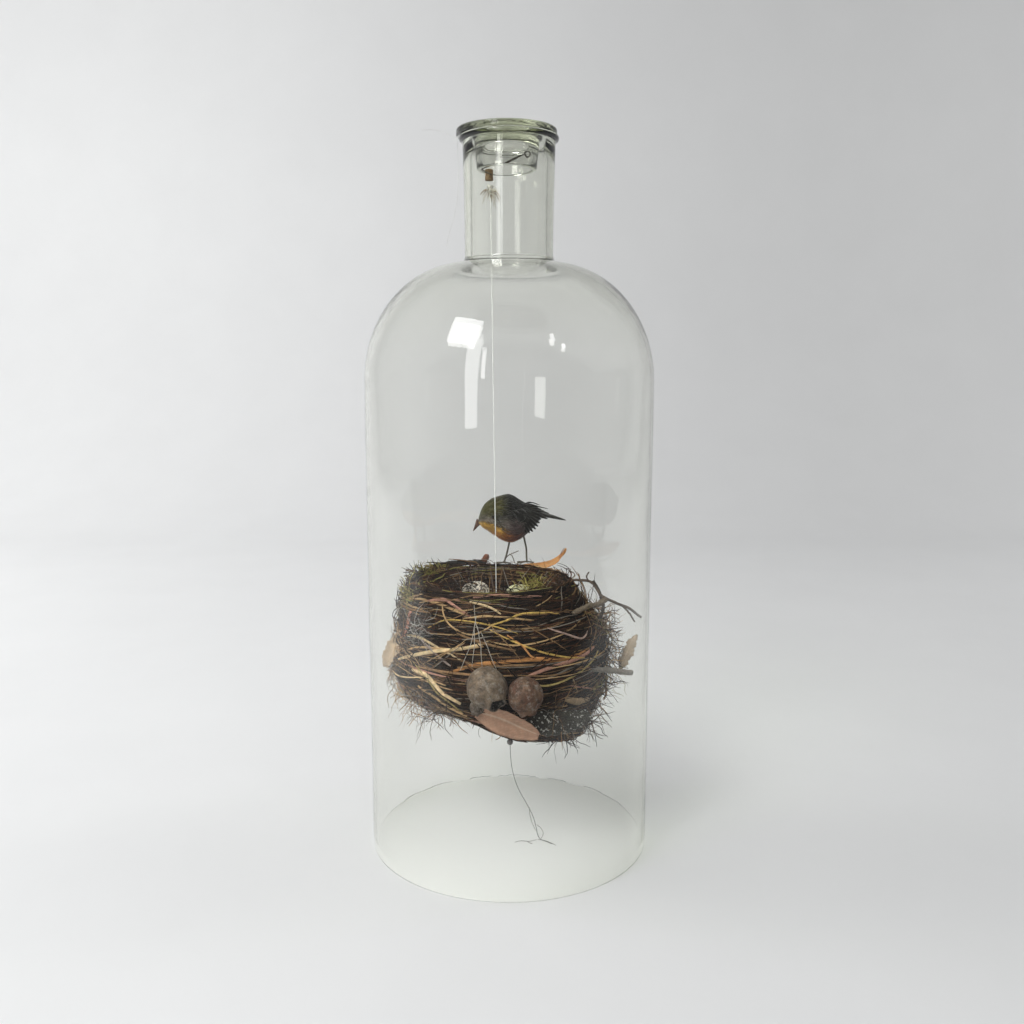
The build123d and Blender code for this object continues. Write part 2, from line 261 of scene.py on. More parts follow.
EGG_SPOTS = (0.07, 0.05, 0.045)
egg_white_look = speckled("egg_white", (0.9, 0.83, 0.71), (0.75, 0.67, 0.56), EGG_SPOTS, 2.6, 0.44)
egg_green_look = speckled(
    "egg_green", (0.66, 0.64, 0.4), (0.5, 0.48, 0.28), (0.2, 0.16, 0.08), 2.2, 0.38,
)
bark_skin = flecked(
    "bark_skin", (0.014, 0.012, 0.009), (0.045, 0.039, 0.026), (0.5, 0.49, 0.45), 3.0, 0.6,
)
nut_look = crusted("gumnut_skin")
nylon_look = nylon("nylon", (0.98, 0.985, 0.98), 0.25)
thread_look = nylon("tail_thread", (0.17, 0.16, 0.16), 0.45)
wire_look = sleek(
    "dark_wire", 1.2, (0.02, 0.019, 0.018), (0.12, 0.1, 0.085), (0.3, 0.65), (0.35, 0.7), 6.0,
    Metallic=0.75,
)
eye_look = sleek(
    "eye_glass", 1.5, (0.004, 0.003, 0.003), (0.016, 0.011, 0.008), 0.06, (0.4, 0.7),
    Coat_Weight=1.0,
)


# ---------------------------------------------------------------- cords
THREAD_RADIUS = 0.3


def free_cord(name, node, route, body, slot, material, length, **facts):
    """A thread on its own smooth line, through the same points as its solid in the frame."""
    curve = bpy.data.curves.new(name, "CURVE")
    curve.dimensions = "3D"
    curve.bevel_depth = THREAD_RADIUS * MM
    curve.bevel_resolution = 3
    curve.resolution_u = 16
    curve.use_fill_caps = True
    spline = curve.splines.new("NURBS")
    spline.points.add(len(route) - 1)
    for point, spot in zip(spline.points, route):
        point.co = (*spot, 1)
    spline.order_u = 3
    spline.use_endpoint_u = True
    curve.materials.append(material)
    made = bpy.data.objects.new(name, curve)
    bpy.context.scene.collection.objects.link(made)
    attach(made, body)
    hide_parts(node)


tail_route = [
    (0.0009, -0.061, 0.1086),
    (0.0011, -0.0585, 0.097),
    (0.003, -0.052, 0.080),
    (0.0078, -0.043, 0.061),
    (0.0155, -0.033, 0.043),
    (0.0215, -0.0255, 0.0275),
    (0.0245, -0.020, 0.014),
    (0.0258, -0.017, 0.005),
    (0.0285, -0.0175, 0.0007),
    (0.0335, -0.020, 0.0005),
    (0.0385, -0.025, 0.0005),
]
upper_end_route = [
    (-0.0428, 0.0, 0.6174),
    (-0.047, 0.0004, 0.618),
    (-0.0535, 0.0008, 0.6214),
    (-0.060, 0.001, 0.6236),
    (-0.0665, 0.0006, 0.6242),
    (-0.073, -0.0006, 0.6234),
]
lower_end_route = [
    (-0.0426, -0.006, 0.6172),
    (-0.0434, -0.0062, 0.610),
    (-0.043, -0.006, 0.596),
    (-0.0426, -0.0054, 0.580),
    (-0.0436, -0.0046, 0.565),
    (-0.0466, -0.0038, 0.551),
    (-0.0514, -0.0036, 0.538),
    (-0.0534, -0.0038, 0.528),
]
free_cord(
    "hanging_tail", "line_tail", tail_route, "nest", "tail_thread", thread_look, 0.1335,
    stiffness="limp", lay="hanging",
)
free_cord(
    "loose_upper", "loose_end_upper", upper_end_route, "stopper", "nylon", nylon_look, 0.0316,
    stiffness="stiff", lay="loose",
)
free_cord(
    "loose_lower", "loose_end_lower", lower_end_route, "stopper", "nylon", nylon_look, 0.0906,
    stiffness="medium", lay="hanging",
)


# ---------------------------------------------------------------- mesh helpers
def piece(name, points, faces, material, body, nodes=(), tints=None, cells=None):
    """A finished mesh, in millimetres, riding on a body and standing for its CAD nodes."""
    mesh = bpy.data.meshes.new(name)
    mesh.from_pydata((np.asarray(points, float) * MM).tolist(), [], faces)
    mesh.polygons.foreach_set("use_smooth", [True] * len(mesh.polygons))
    if tints is not None:
        stored = mesh.color_attributes.new("tint", "FLOAT_COLOR", "POINT")
        rgba = np.ones((len(points), 4))
        rgba[:, :3] = tints
        stored.data.foreach_set("color", rgba.ravel())
    if cells is not None:
        layer = mesh.uv_layers.new(name="OFBake")
        layer.data.foreach_set("uv", np.asarray(cells, float).ravel())
    mesh.materials.append(material)
    mesh.update()
    made = bpy.data.objects.new(name, mesh)
    bpy.context.scene.collection.objects.link(made)
    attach(made, body)
    if nodes:
        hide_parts(*nodes)
    return made


def smooth_line(points, count):
    """count points along a Catmull-Rom curve through points."""
    p = np.asarray(points, float)
    padded = np.vstack([2 * p[0] - p[1], p, 2 * p[-1] - p[-2]])
    at = np.linspace(0, len(p) - 1, count)
    k = np.minimum(at.astype(int), len(p) - 2)
    t = (at - k)[:, None]
    a, b, c, d = padded[k], padded[k + 1], padded[k + 2], padded[k + 3]
    return 0.5 * (2 * b + (c - a) * t + (2 * a - 5 * b + 4 * c - d) * t**2 + (3 * b - a - 3 * c + d) * t**3)


# the range of shades along one strand, and how much of its bake cell a strand fills
SHADE_LOW, SHADE_SPAN = 0.85, 0.3
CELL_FILL, CAP_FILL = 0.9, 0.01


class Strands:
    """Thin tubes gathered into one mesh: each has its own colour and its own cell of the bake map."""

    def __init__(self):
        self.tubes = []

    def add(self, line, radius, tint, flat=1.0, sides=5, taper=0.25, wide=None, swell=0.45):
        """A tube along line. flat is its thickness over its width, wide the way that its width
        points at its start, taper its ends' thickness, and swell how slowly it thickens from them."""
        wide = (0.31, 0.17, 0.93) if wide is None else wide
        tube = (np.asarray(line, float), radius, np.asarray(tint, float), flat, sides, taper, wide, swell)
        self.tubes.append(tube)

    def make(self, name, nodes=(), material=fibre, body="nest"):
        """One finished mesh of all the tubes, which stands for its CAD nodes."""
        across = math.ceil(math.sqrt(len(self.tubes)))
        points, faces, tints, cells = [], [], [], []
        start = 0
        for index, (line, radius, tint, flat, sides, taper, wide, swell) in enumerate(self.tubes):
            count = len(line)
            along = np.gradient(line, axis=0)
            along /= np.linalg.norm(along, axis=1)[:, None] + 1e-9
            up = np.asarray(wide, float)
            ups = []
            for direction in along:
                up = up - direction * np.dot(up, direction)
                up /= np.linalg.norm(up) + 1e-9
                ups.append(up)
            ups = np.array(ups)
            sideways = np.cross(along, ups)
            position = np.linspace(0, 1, count)
            thick = radius * (taper + (1 - taper) * np.sin(np.pi * np.clip(position, 0.02, 0.98)) ** swell)
            angle = np.arange(sides) * 2 * np.pi / sides
            ring = (
                ups[:, None, :] * np.cos(angle)[None, :, None]
                + sideways[:, None, :] * (np.sin(angle) * flat)[None, :, None]
            )
            points.append((line[:, None, :] + ring * thick[:, None, None]).reshape(-1, 3))
            shade = SHADE_LOW + SHADE_SPAN * rng.random((count, 1))
            tints.append(np.repeat(tint * shade, sides, axis=0))
            corner = np.array([index % across, index // across]) / across
            size = CELL_FILL / across
            for i in range(count - 1):
                u0, u1 = i / (count - 1), (i + 1) / (count - 1)
                for j in range(sides):
                    a = start + i * sides + j
                    b = start + i * sides + (j + 1) % sides
                    faces.append((a, b, b + sides, a + sides))
                    v0, v1 = j / sides, (j + 1) / sides
                    for u, v in ((u0, v0), (u0, v1), (u1, v1), (u1, v0)):
                        cells.append((corner[0] + u * size, corner[1] + v * size))
            for base, order in ((start, -1), (start + (count - 1) * sides, 1)):
                faces.append(tuple(range(base, base + sides))[::order])
                for j in range(sides):
                    cells.append((corner[0] + j * size * CAP_FILL, corner[1] + size * (j % 2) * CAP_FILL))
            start += count * sides
        return piece(
            name, np.vstack(points), faces, material, body, nodes, np.vstack(tints), cells
        )


def lathe(profile, turns, wobble):
    """Points and faces of a profile, (radius, height) pairs closed on itself, spun about Z. Each ring
    of points passes through wobble with its angle."""
    profile = np.asarray(profile, float)
    angle = np.arange(turns) * 2 * np.pi / turns
    rings = []
    for a in angle:
        ring = [profile[:, 0] * math.cos(a), profile[:, 0] * math.sin(a), profile[:, 1]]
        rings.append(wobble(np.column_stack(ring), a))
    count = len(profile)
    faces = []
    for i in range(turns):
        here, there = i * count, (i + 1) % turns * count
        for j in range(count):
            k = (j + 1) % count
            faces.append((here + j, there + j, there + k, here + k))
    return np.vstack(rings), faces


def arc(center, radii, start, end, count):
    """Points on an ellipse's arc, angles in degrees."""
    t = np.radians(np.linspace(start, end, count))
    return np.column_stack([center[0] + radii[0] * np.cos(t), center[1] + radii[1] * np.sin(t)])


# ---------------------------------------------------------------- the glass jar
jar_half = place("dome_shell")[1]
BODY_RADIUS = jar_half[0]
LIP_TOP = jar_half[2] * 2
WALL = 3.0
BODY_HEIGHT = 413.5
SHOULDER_RISE = 101.25
NECK_RADIUS = 37.8
NECK_BORE = 31.5
LIP_RADIUS = 42.0
LIP_THICKNESS = 4.0
NECK_FILLET = 6.0
CHIP_HEIGHT = 3.0


def jar_profile():
    """The jar's section, from the foot up the outside, over the lip and down the inside."""
    neck_base = BODY_HEIGHT + SHOULDER_RISE
    lip_bottom = LIP_TOP - LIP_THICKNESS
    outside = np.vstack([
        arc((BODY_RADIUS - 1.2, 1.2), (1.2, 1.2), -80, 0, 5),
        np.column_stack([np.full(24, BODY_RADIUS), np.linspace(10, BODY_HEIGHT - 8, 24)]),
        arc((NECK_RADIUS, BODY_HEIGHT), (BODY_RADIUS - NECK_RADIUS, SHOULDER_RISE), 0, 84, 40),
        arc(
            (NECK_RADIUS + NECK_FILLET, neck_base + NECK_FILLET - 0.4), (NECK_FILLET, NECK_FILLET),
            255, 185, 8,
        ),
        [(NECK_RADIUS, neck_base + 16), (NECK_RADIUS + 0.3, 560), (NECK_RADIUS + 0.9, 596)],
        [(NECK_RADIUS + 1.2, lip_bottom - 1.2), (LIP_RADIUS - 1.4, lip_bottom - 0.2)],
        arc((LIP_RADIUS - 1.3, LIP_TOP - LIP_THICKNESS / 2), (1.3, LIP_THICKNESS / 2), -70, 80, 8),
        [(LIP_RADIUS - 3, LIP_TOP), (NECK_BORE + 2, LIP_TOP)],
    ])
    inner_rise = SHOULDER_RISE - WALL
    inner_radius = BODY_RADIUS - WALL
    inside = np.vstack([
        arc((inner_radius + 1.2, 1.2), (1.2, 1.2), 260, 180, 5),
        np.column_stack([np.full(24, inner_radius), np.linspace(10, BODY_HEIGHT - 8, 24)]),
        arc((NECK_BORE, BODY_HEIGHT), (inner_radius - NECK_BORE, inner_rise), 0, 83, 40),
        arc((NECK_BORE + 5, BODY_HEIGHT + inner_rise + 4), (5, 4), 250, 185, 8),
        [(NECK_BORE, 530), (NECK_BORE, 570), (NECK_BORE, 605)],
        [(NECK_BORE + 0.4, LIP_TOP - 1.5), (NECK_BORE + 1.0, LIP_TOP - 0.4)],
    ])
    return np.vstack([outside, inside[::-1]])


def hand_made(ring, angle):
    """Slight waves in the blown wall, and an uneven cut at the back of the foot."""
    height = ring[:, 2]
    wave = 0.12 * np.sin(3 * angle + height * 0.02) + 0.08 * np.sin(7 * angle - height * 0.045)
    fade = np.clip((LIP_TOP - height) / 90, 0, 1) * np.clip(height / 60, 0, 1)
    spread = 1 + (wave * fade - 0.2 * fade) / np.maximum(np.hypot(ring[:, 0], ring[:, 1]), 1)
    ring[:, 0] *= spread
    ring[:, 1] *= spread
    behind = np.clip(math.sin(angle) * 1.4, 0, 1)
    step = math.floor(3 * (0.5 + 0.5 * math.sin(5.3 * angle) * math.sin(13 * angle + 1)))
    chips = behind * (0.9 * step + 0.5 * abs(math.sin(41 * angle)))
    foot = np.clip(1 - height / CHIP_HEIGHT, 0, 1)
    ring[:, 2] += chips * foot
    return ring


JAR_TURNS = 288
jar_points, jar_faces = lathe(jar_profile(), JAR_TURNS, hand_made)
piece("glass_jar", jar_points, jar_faces, jar_glass, "jar", ["dome_shell"])

# ---------------------------------------------------------------- the stopper
stopper_middle, stopper_half = place("stopper")
FLANGE_RADIUS = stopper_half[0]
STOPPER_TOP = stopper_middle[2] + stopper_half[2]
PLUG_BOTTOM = stopper_middle[2] - stopper_half[2]
CAVITY_TOP = PLUG_BOTTOM + 22.5


def stopper_profile():
    """The stopper's section, from the middle of its top round to the middle of its hollow."""
    return np.vstack([
        [(0.01, STOPPER_TOP - 0.5), (12, STOPPER_TOP - 0.3), (26, STOPPER_TOP)],
        [(FLANGE_RADIUS - 2.6, STOPPER_TOP)],
        arc((FLANGE_RADIUS - 1.6, STOPPER_TOP - 1.6), (1.6, 1.6), 75, 0, 6),
        [(FLANGE_RADIUS, LIP_TOP + 2.4)],
        arc((FLANGE_RADIUS - 1.2, LIP_TOP + 1.2), (1.2, 1.2), 0, -75, 5),
        [(FLANGE_RADIUS - 4, LIP_TOP), (NECK_BORE, LIP_TOP)],
        [(29.4, LIP_TOP - 0.6), (28.4, LIP_TOP - 2.4), (27.6, LIP_TOP - 10), (26.2, PLUG_BOTTOM + 8)],
        arc((24.4, PLUG_BOTTOM + 1.2), (1.1, 1.2), 0, -90, 5),
        arc((22.6, PLUG_BOTTOM + 1.2), (1.1, 1.2), 270, 180, 5),
        [(21.7, PLUG_BOTTOM + 8), (22.3, CAVITY_TOP - 6)],
        arc((18.8, CAVITY_TOP - 3.4), (3.4, 3.4), 10, 90, 6),
        [(12, CAVITY_TOP + 0.2), (0.01, CAVITY_TOP + 0.4)],
    ])


def pressed(ring, angle):
    """The faint flats and waves of a pressed and ground plug."""
    lean = 0.1 * math.sin(2 * angle + 0.4) + 0.06 * math.sin(9 * angle)
    reach = np.hypot(ring[:, 0], ring[:, 1])
    low = ring[:, 2] < LIP_TOP - 1
    spread = 1 - np.where(low, 0.15 + lean, 0.0) / np.maximum(reach, 5)
    ring[:, 0] *= spread
    ring[:, 1] *= spread
    return ring


def open_lathe(profile, turns, wobble):
    """As lathe, for a profile that starts and ends on the axis."""
    points, faces = lathe(profile, turns, wobble)
    count = len(profile)
    faces = [f[::-1] for k, f in enumerate(faces) if k % count != count - 1]
    for column, order in ((0, 1), (count - 1, -1)):
        faces.append(tuple(range(column, turns * count, count))[::order])
    return points, faces


STOPPER_TURNS = 160
stopper_points, stopper_faces = open_lathe(stopper_profile(), STOPPER_TURNS, pressed)
stopper_points[:, :2] += stopper_middle[:2]
piece(
    "glass_stopper", stopper_points, stopper_faces, stopper_glass, "stopper",
    ["stopper"],
)

# ---------------------------------------------------------------- the hanger inside the plug
wire_middle, wire_half = place("hanger_wire")
toggle_middle = place("hanger_toggle")[0]
knot_middle = place("line_knot")[0]
wire_low = np.array([wire_middle[0] - wire_half[0] + 0.7, 0, PLUG_BOTTOM + 1.5])
wire_high = np.array([wire_middle[0] + wire_half[0] - 6.5, 0, PLUG_BOTTOM + 14.0])
METAL = (0.05, 0.045, 0.04)


def twisted_pair(strands, start, end, turns, radius, gap):
    """Two wires wound round each other from start to end."""
    t = np.linspace(0, 1, 60)[:, None]
    run = (end - start) / np.linalg.norm(end - start)
    side = np.cross(run, (0, 1, 0))
    other = np.cross(run, side)
    for phase in (0, math.pi):
        turn = 2 * math.pi * turns * t + phase
        line = start + (end - start) * t + gap * (side * np.cos(turn) + other * np.sin(turn))
        strands.add(line, radius, METAL, sides=8, taper=0.95)


wire = Strands()
twisted_pair(wire, wire_low, wire_high, 9, 0.42, 0.42)
eye_turn = np.linspace(-0.6, 4.2 * math.pi, 60)
eye_middle = wire_high + (3.0, 0, 0.9)
eye_line = np.column_stack([
    eye_middle[0] - 2.7 * np.cos(eye_turn),
    -0.9 + eye_turn * 0.14,
    eye_middle[2] + 3.1 * np.sin(eye_turn),
])
wire.add(eye_line, 0.75, METAL, sides=8, taper=0.9)
hook = [
    wire_low, wire_low + (2.5, -0.3, -1.6),
    toggle_middle + (-2.8, -3.2, 2.2), toggle_middle + (2.2, -3.6, -0.6),
]
wire.add(smooth_line(hook, 24), 0.5, METAL, sides=8, taper=0.8)
wire.make("twisted_wire", ["hanger_wire"], wire_look, "stopper")


def bumped(ring, angle):
    """The toggle's cork is cut by hand."""
    ring[:, :2] *= 1 + 0.05 * math.sin(3 * angle) + 0.03 * math.sin(8 * angle + 1)
    return ring


cork_profile = np.vstack([
    [(0.01, -4.6), (2.4, -4.5)], arc((2.6, -3.8), (0.8, 0.8), -70, 0, 4),
    [(3.3, -1.5), (3.2, 1), (3.35, 3.0)], arc((2.6, 3.9), (0.75, 0.75), 10, 85, 4), [(0.01, 4.7)],
])
cork_points, cork_faces = open_lathe(cork_profile, 28, bumped)
cork_points += toggle_middle
piece("cork_toggle", cork_points, cork_faces, cork_look, "stopper", ["hanger_toggle"])

NYLON = (0.9, 0.91, 0.9)
knot = Strands()
knot_turn = np.linspace(0, 2 * math.pi, 120)
for scale, height in ((1.0, 2.0), (0.8, -0.6)):
    reach = scale * (2.4 + 1.2 * np.cos(3 * knot_turn))
    knot_line = np.column_stack([
        reach * np.cos(2 * knot_turn),
        reach * np.sin(2 * knot_turn),
        height + 2.2 * np.sin(3 * knot_turn),
    ])
    knot.add(knot_line + knot_middle, 0.42, NYLON, sides=6, taper=0.9)
FRAYED_ENDS = 46
for _ in range(FRAYED_ENDS):
    away = normal(0, 1, 3) * (1, 1, 0.9)
    away /= np.linalg.norm(away)
    start = knot_middle + away * 1.2
    reach = uniform(4.0, 9.0)
    drooped = start + away * reach + (0, 0, -reach * 0.5)
    line = smooth_line([start, start + away * reach * 0.5, drooped], 8)
    shade = (0.62, 0.58, 0.5) if rng.random() < 0.5 else (0.3, 0.24, 0.17)
    knot.add(line, uniform(0.18, 0.5), shade, flat=0.5, sides=5)
knot.make("line_knot_turns", ["line_knot"], body="knot")

# ---------------------------------------------------------------- the nest's shape
nest_middle, nest_half = place("nest_wall")
NEST_BOTTOM = nest_middle[2] - nest_half[2]
PLAN = nest_half[1] / nest_half[0]
# height over the nest's bottom, radius, and how far the middle leans to the right
NEST_SHAPE = np.array([
    (0, 22, 34), (4, 40, 32), (12, 53, 24), (22, 62, 17), (32, 72, 11), (45, 85, 4), (66, 93, -2),
    (90, 94, 2), (110, 90, 0), (125, 82, -6), (145, 72, -9),
])
# height over the nest's bottom, and radius
CUP_SHAPE = np.array([(118, 28), (121, 42), (129, 50), (140, 55), (146, 60)])
CUP_LEAN = -6.0
BOTTOM_TILT = 12.0
FRONT_TILT = 10.0


def tilt(x, y, height):
    """How far the nest's underside is higher at its left and its front."""
    sideways = BOTTOM_TILT * np.clip(-x / 50, -0.3, 1) + FRONT_TILT * np.clip(-y / 40, -0.3, 1)
    return sideways * np.clip(1 - height / 45, 0, 1)


# colours of the nest's fibres
DARK = (0.01, 0.0058, 0.0038)
BROWN = (0.035, 0.019, 0.011)
RED_BROWN = (0.085, 0.036, 0.018)
TAN = (0.26, 0.155, 0.078)
STRAW = (0.52, 0.35, 0.18)
GREY = (0.25, 0.22, 0.19)
OLIVE = (0.3, 0.27, 0.08)


def on_nest(angle, height, lift=0.0):
    """A point on the nest's outside: degrees from the front towards the right, millimetres over
    its bottom, and millimetres outwards."""
    angle, height = np.broadcast_arrays(np.asarray(angle, float), np.asarray(height, float))
    reach = np.interp(height, NEST_SHAPE[:, 0], NEST_SHAPE[:, 1]) + lift
    lean = np.interp(height, NEST_SHAPE[:, 0], NEST_SHAPE[:, 2])
    turn = np.radians(angle)
    across = lean + reach * np.sin(turn)
    forward = -PLAN * reach * np.cos(turn)
    return np.stack([
        nest_middle[0] + across,
        nest_middle[1] + forward,
        NEST_BOTTOM + height + tilt(across, forward, height),
    ], axis=-1)


def in_cup(angle, height, lift=0.0):
    """A point on the inside of the cup, as on_nest; lift is towards the middle."""
    angle, height = np.broadcast_arrays(np.asarray(angle, float), np.asarray(height, float))
    reach = np.interp(height, CUP_SHAPE[:, 0], CUP_SHAPE[:, 1]) - lift
    turn = np.radians(angle)
    return np.stack([
        nest_middle[0] + CUP_LEAN + reach * np.sin(turn),
        nest_middle[1] - PLAN * reach * np.cos(turn),
        NEST_BOTTOM + height,
    ], axis=-1)


# how far strands may stand off the jar's axis, and loose ones by their root's height
GLASS_REACH = 114.0
REACH_HEIGHTS = (NEST_BOTTOM + 70, NEST_BOTTOM + 100, NEST_BOTTOM + 130)
REACH_LIMITS = (113.0, 107.0, 102.0)
ROOT_MARGIN = 4
SHORTENINGS, SHORTENED_TO = 12, 0.84


def inside_jar(line):
    """The line, with whatever would come too near the glass drawn in."""
    reach = np.hypot(line[:, 0], line[:, 1])
    line[:, :2] *= np.minimum(1, GLASS_REACH / np.maximum(reach, 1))[:, None]
    return line


def shortened(line):
    """A loose strand, shortened towards its root until it ends inside the nest's ragged outline."""
    root = line[0].copy()
    limit = np.interp(root[2], REACH_HEIGHTS, REACH_LIMITS) * uniform(0.95, 1.0)
    root[:2] *= min(1, (limit - ROOT_MARGIN) / math.hypot(root[0], root[1]))
    offsets = line - line[0]
    for _ in range(SHORTENINGS):
        if np.hypot(*(root + offsets)[:, :2].T).max() <= limit:
            break
        offsets = offsets * SHORTENED_TO
    return root + offsets


def pick(*choices):
    """One of (weight, colour), a little lighter or darker."""
    weights = np.array([c[0] for c in choices], float)
    colour = choices[rng.choice(len(choices), p=weights / weights.sum())][1]
    return np.array(colour) * uniform(0.7, 1.25)


# ---------------------------------------------------------------- the nest's dark core
core_profile = np.vstack([
    [(0.01, 4.5), (20, 4)], [(r - 8, h + 2) for h, r, _ in NEST_SHAPE[1:-1]], [(65, 139), (61, 140)],
    [(r + 3, h - 3) for h, r in CUP_SHAPE[::-1][1:]], [(0.01, 115)],
])


def matted(ring, angle):
    """The core is lumpy, and leans as the strands do."""
    height = ring[:, 2].copy()
    lumps = 1.6 * np.sin(5 * angle + height * 0.11) + 1.2 * np.sin(11 * angle - height * 0.17)
    reach = np.maximum(np.hypot(ring[:, 0], ring[:, 1]), 1)
    spread = 1 + lumps * np.clip(reach / 40, 0, 1) / np.maximum(reach, 20)
    lean = np.interp(height, NEST_SHAPE[:, 0], NEST_SHAPE[:, 2])
    ring[:, 0] = ring[:, 0] * spread + nest_middle[0] + lean
    ring[:, 1] = ring[:, 1] * spread * PLAN + nest_middle[1]
    ring[:, 2] += NEST_BOTTOM + tilt(ring[:, 0] - nest_middle[0], ring[:, 1] - nest_middle[1], height)
    return ring


CORE_TURNS = 96
core_points, core_faces = open_lathe(core_profile, CORE_TURNS, matted)
core_nodes = ["nest_wall", "nest_lining"]
piece("nest_core", core_points, core_faces, core_look, "nest", core_nodes)


# ---------------------------------------------------------------- woven strands
# in millimetres over the nest's bottom: the rim, and the cup's floor
RIM_HEIGHT = 149
CUP_FLOOR = 119
FLOOR_RADIUS = 44


def weave(strands, count, low, high, lift, palette, size=(0.35, 0.75)):
    """Roots and stalks laid round the bowl, each rising or falling a little and standing off at its
    ends."""
    for _ in range(count):
        t = np.linspace(0, 1, 12)
        start = uniform(0, 360)
        arc_length = uniform(30, 120)
        slope = normal(0, 9)
        height = uniform(low, high) + slope * (t - 0.5)
        height += normal(0, 1.6) * np.sin(t * uniform(4, 9))
        height = np.clip(height, 1.0, 147)
        loose = uniform(0, 5) * np.abs(2 * t - 1) ** 4
        off = uniform(*lift) + loose
        off += normal(0, 0.8) * np.sin(t * uniform(5, 12) + uniform(0, 6))
        line = inside_jar(on_nest(start + arc_length * t, height, off))
        flat = 1.0 if rng.random() < 0.6 else 0.35
        strands.add(line, uniform(*size), pick(*palette), flat=flat, sides=4 if flat == 1 else 5)


def crossing(strands, count, low, high, palette):
    """Shorter stalks pushed in across the weave at every slant, whose ends stick out."""
    for _ in range(count):
        t = np.linspace(0, 1, 9)
        height = uniform(low, high)
        angle = uniform(0, 360)
        length = uniform(18, 60)
        slant = uniform(-1.2, 1.2)
        around = length * math.cos(slant) / 1.5
        rise = length * math.sin(slant)
        off = -4 + uniform(4, 11) * np.sin(t * math.pi * uniform(0.5, 0.9))
        off += uniform(0, 5) * t**2
        tall = height + rise * t
        line = inside_jar(on_nest(angle + around * t, np.clip(tall, 1, RIM_HEIGHT), off))
        line[:, 2] += np.maximum(tall - RIM_HEIGHT, 0) * 0.12
        strands.add(line, uniform(0.3, 0.6), pick(*palette), flat=uniform(0.4, 1), sides=4)


DARK_MIX = ((6, DARK), (4, BROWN), (1.0, RED_BROWN), (0.2, GREY))
MIXED = ((4, DARK), (4, BROWN), (2, RED_BROWN), (1.4, TAN), (0.5, STRAW), (0.4, GREY))
PALE_MIX = ((1, BROWN), (2, RED_BROWN), (3, TAN), (2, STRAW), (0.6, GREY))

WEAVES = (("nest_weave_low", 2, 50), ("nest_weave_middle", 45, 100), ("nest_weave_high", 95, 146))
for name, low, high in WEAVES:
    woven = Strands()
    weave(woven, 640, low, high, (-6, -1), DARK_MIX, (0.5, 1.0))
    weave(woven, 420, low, high, (-3, 2.5), MIXED)
    crossing(woven, 240, low, high, MIXED)
    woven.make(name)


# ---------------------------------------------------------------- the rim and the cup
def rim_wrap(strands, count):
    """Stalks laid along the top of the wall, rolled over from the outside into the cup."""
    for _ in range(count):
        t = np.linspace(0, 1, 12)
        turn = uniform(0, 360) + uniform(35, 130) * t
        roll = uniform(0, 1) + 0.35 * np.sin(t * uniform(2, 6) + uniform(0, 6))
        roll = np.clip(roll, 0, 1)[:, None]
        outer = on_nest(turn, 139 + uniform(-3, 2), uniform(-2, 1.5))
        inner = in_cup(turn, 141 + uniform(-3, 1), uniform(-1, 2))
        line = outer * (1 - roll) + inner * roll
        line[:, 2] += 4.5 * np.sin(np.pi * roll[:, 0]) + uniform(-1, 1.5)
        colour = pick((3, DARK), (4, BROWN), (2, RED_BROWN), (1.5, TAN), (0.4, STRAW), (1, OLIVE))
        strands.add(inside_jar(line), uniform(0.35, 0.8), colour, flat=uniform(0.4, 1), sides=5)


def cup_lining(strands, count):
    """Fine roots and hair, felted against the inside of the cup and over its floor."""
    for _ in range(count):
        t = np.linspace(0, 1, 9)
        start = uniform(0, 360)
        if rng.random() < 0.7:
            height = uniform(CUP_FLOOR, 146) + normal(0, 5) * (t - 0.5)
            line = in_cup(start + uniform(20, 70) * t, height, uniform(-1, 2.5))
        else:
            turn = start + normal(0, 14) * t
            line = in_cup(turn, 120 + 27 * t, uniform(0, 3) + 2 * np.sin(4 * t))
        colour = pick((3, DARK), (4, BROWN), (3, RED_BROWN), (2, TAN), (1.5, GREY))
        strands.add(line, uniform(0.22, 0.5), colour, sides=4)
    for _ in range(count // 3):
        start, end = (
            nest_middle[:2]
            + np.array((FLOOR_RADIUS * math.sin(turn), -PLAN * FLOOR_RADIUS * math.cos(turn)))
            for turn in uniform(0, 2 * math.pi, 2)
        )
        t = np.linspace(0, 1, 8)[:, None]
        flat_line = start * (1 - t) + end * t + normal(0, 4, (1, 2)) * np.sin(math.pi * t)
        rise = CUP_FLOOR + uniform(0, 3) + 2 * np.abs(2 * t - 1)
        line = np.hstack([flat_line, NEST_BOTTOM + rise])
        size = uniform(0.22, 0.5)
        strands.add(line, size, pick((3, DARK), (4, BROWN), (2, RED_BROWN), (1, GREY)), sides=4)


rim = Strands()
rim_wrap(rim, 520)
rim.make("nest_rim")
lining = Strands()
cup_lining(lining, 900)
lining.make("cup_felt")


def tangle(strands, middle, size, count, palette, radius=(0.2, 0.4), reach=9.0, curl=1.0, flat=1.0):
    """A tuft of short curled strands filling an ellipsoid."""
    steps = 9
    for _ in range(count):
        away = normal(0, 1, 3)
        away /= np.linalg.norm(away)
        start = np.array(middle) + away * np.array(size) * uniform(0.3, 0.95)
        heading = normal(0, 1, 3)
        bend = normal(0, curl, 3)
        line = [start]
        for _ in range(steps):
            heading = heading / np.linalg.norm(heading) + bend * 0.3 + normal(0, 0.3 * curl, 3)
            line.append(line[-1] + heading / np.linalg.norm(heading) * reach / steps)
        strands.add(smooth_line(line, 16), uniform(*radius), pick(*palette), flat=flat, sides=4)


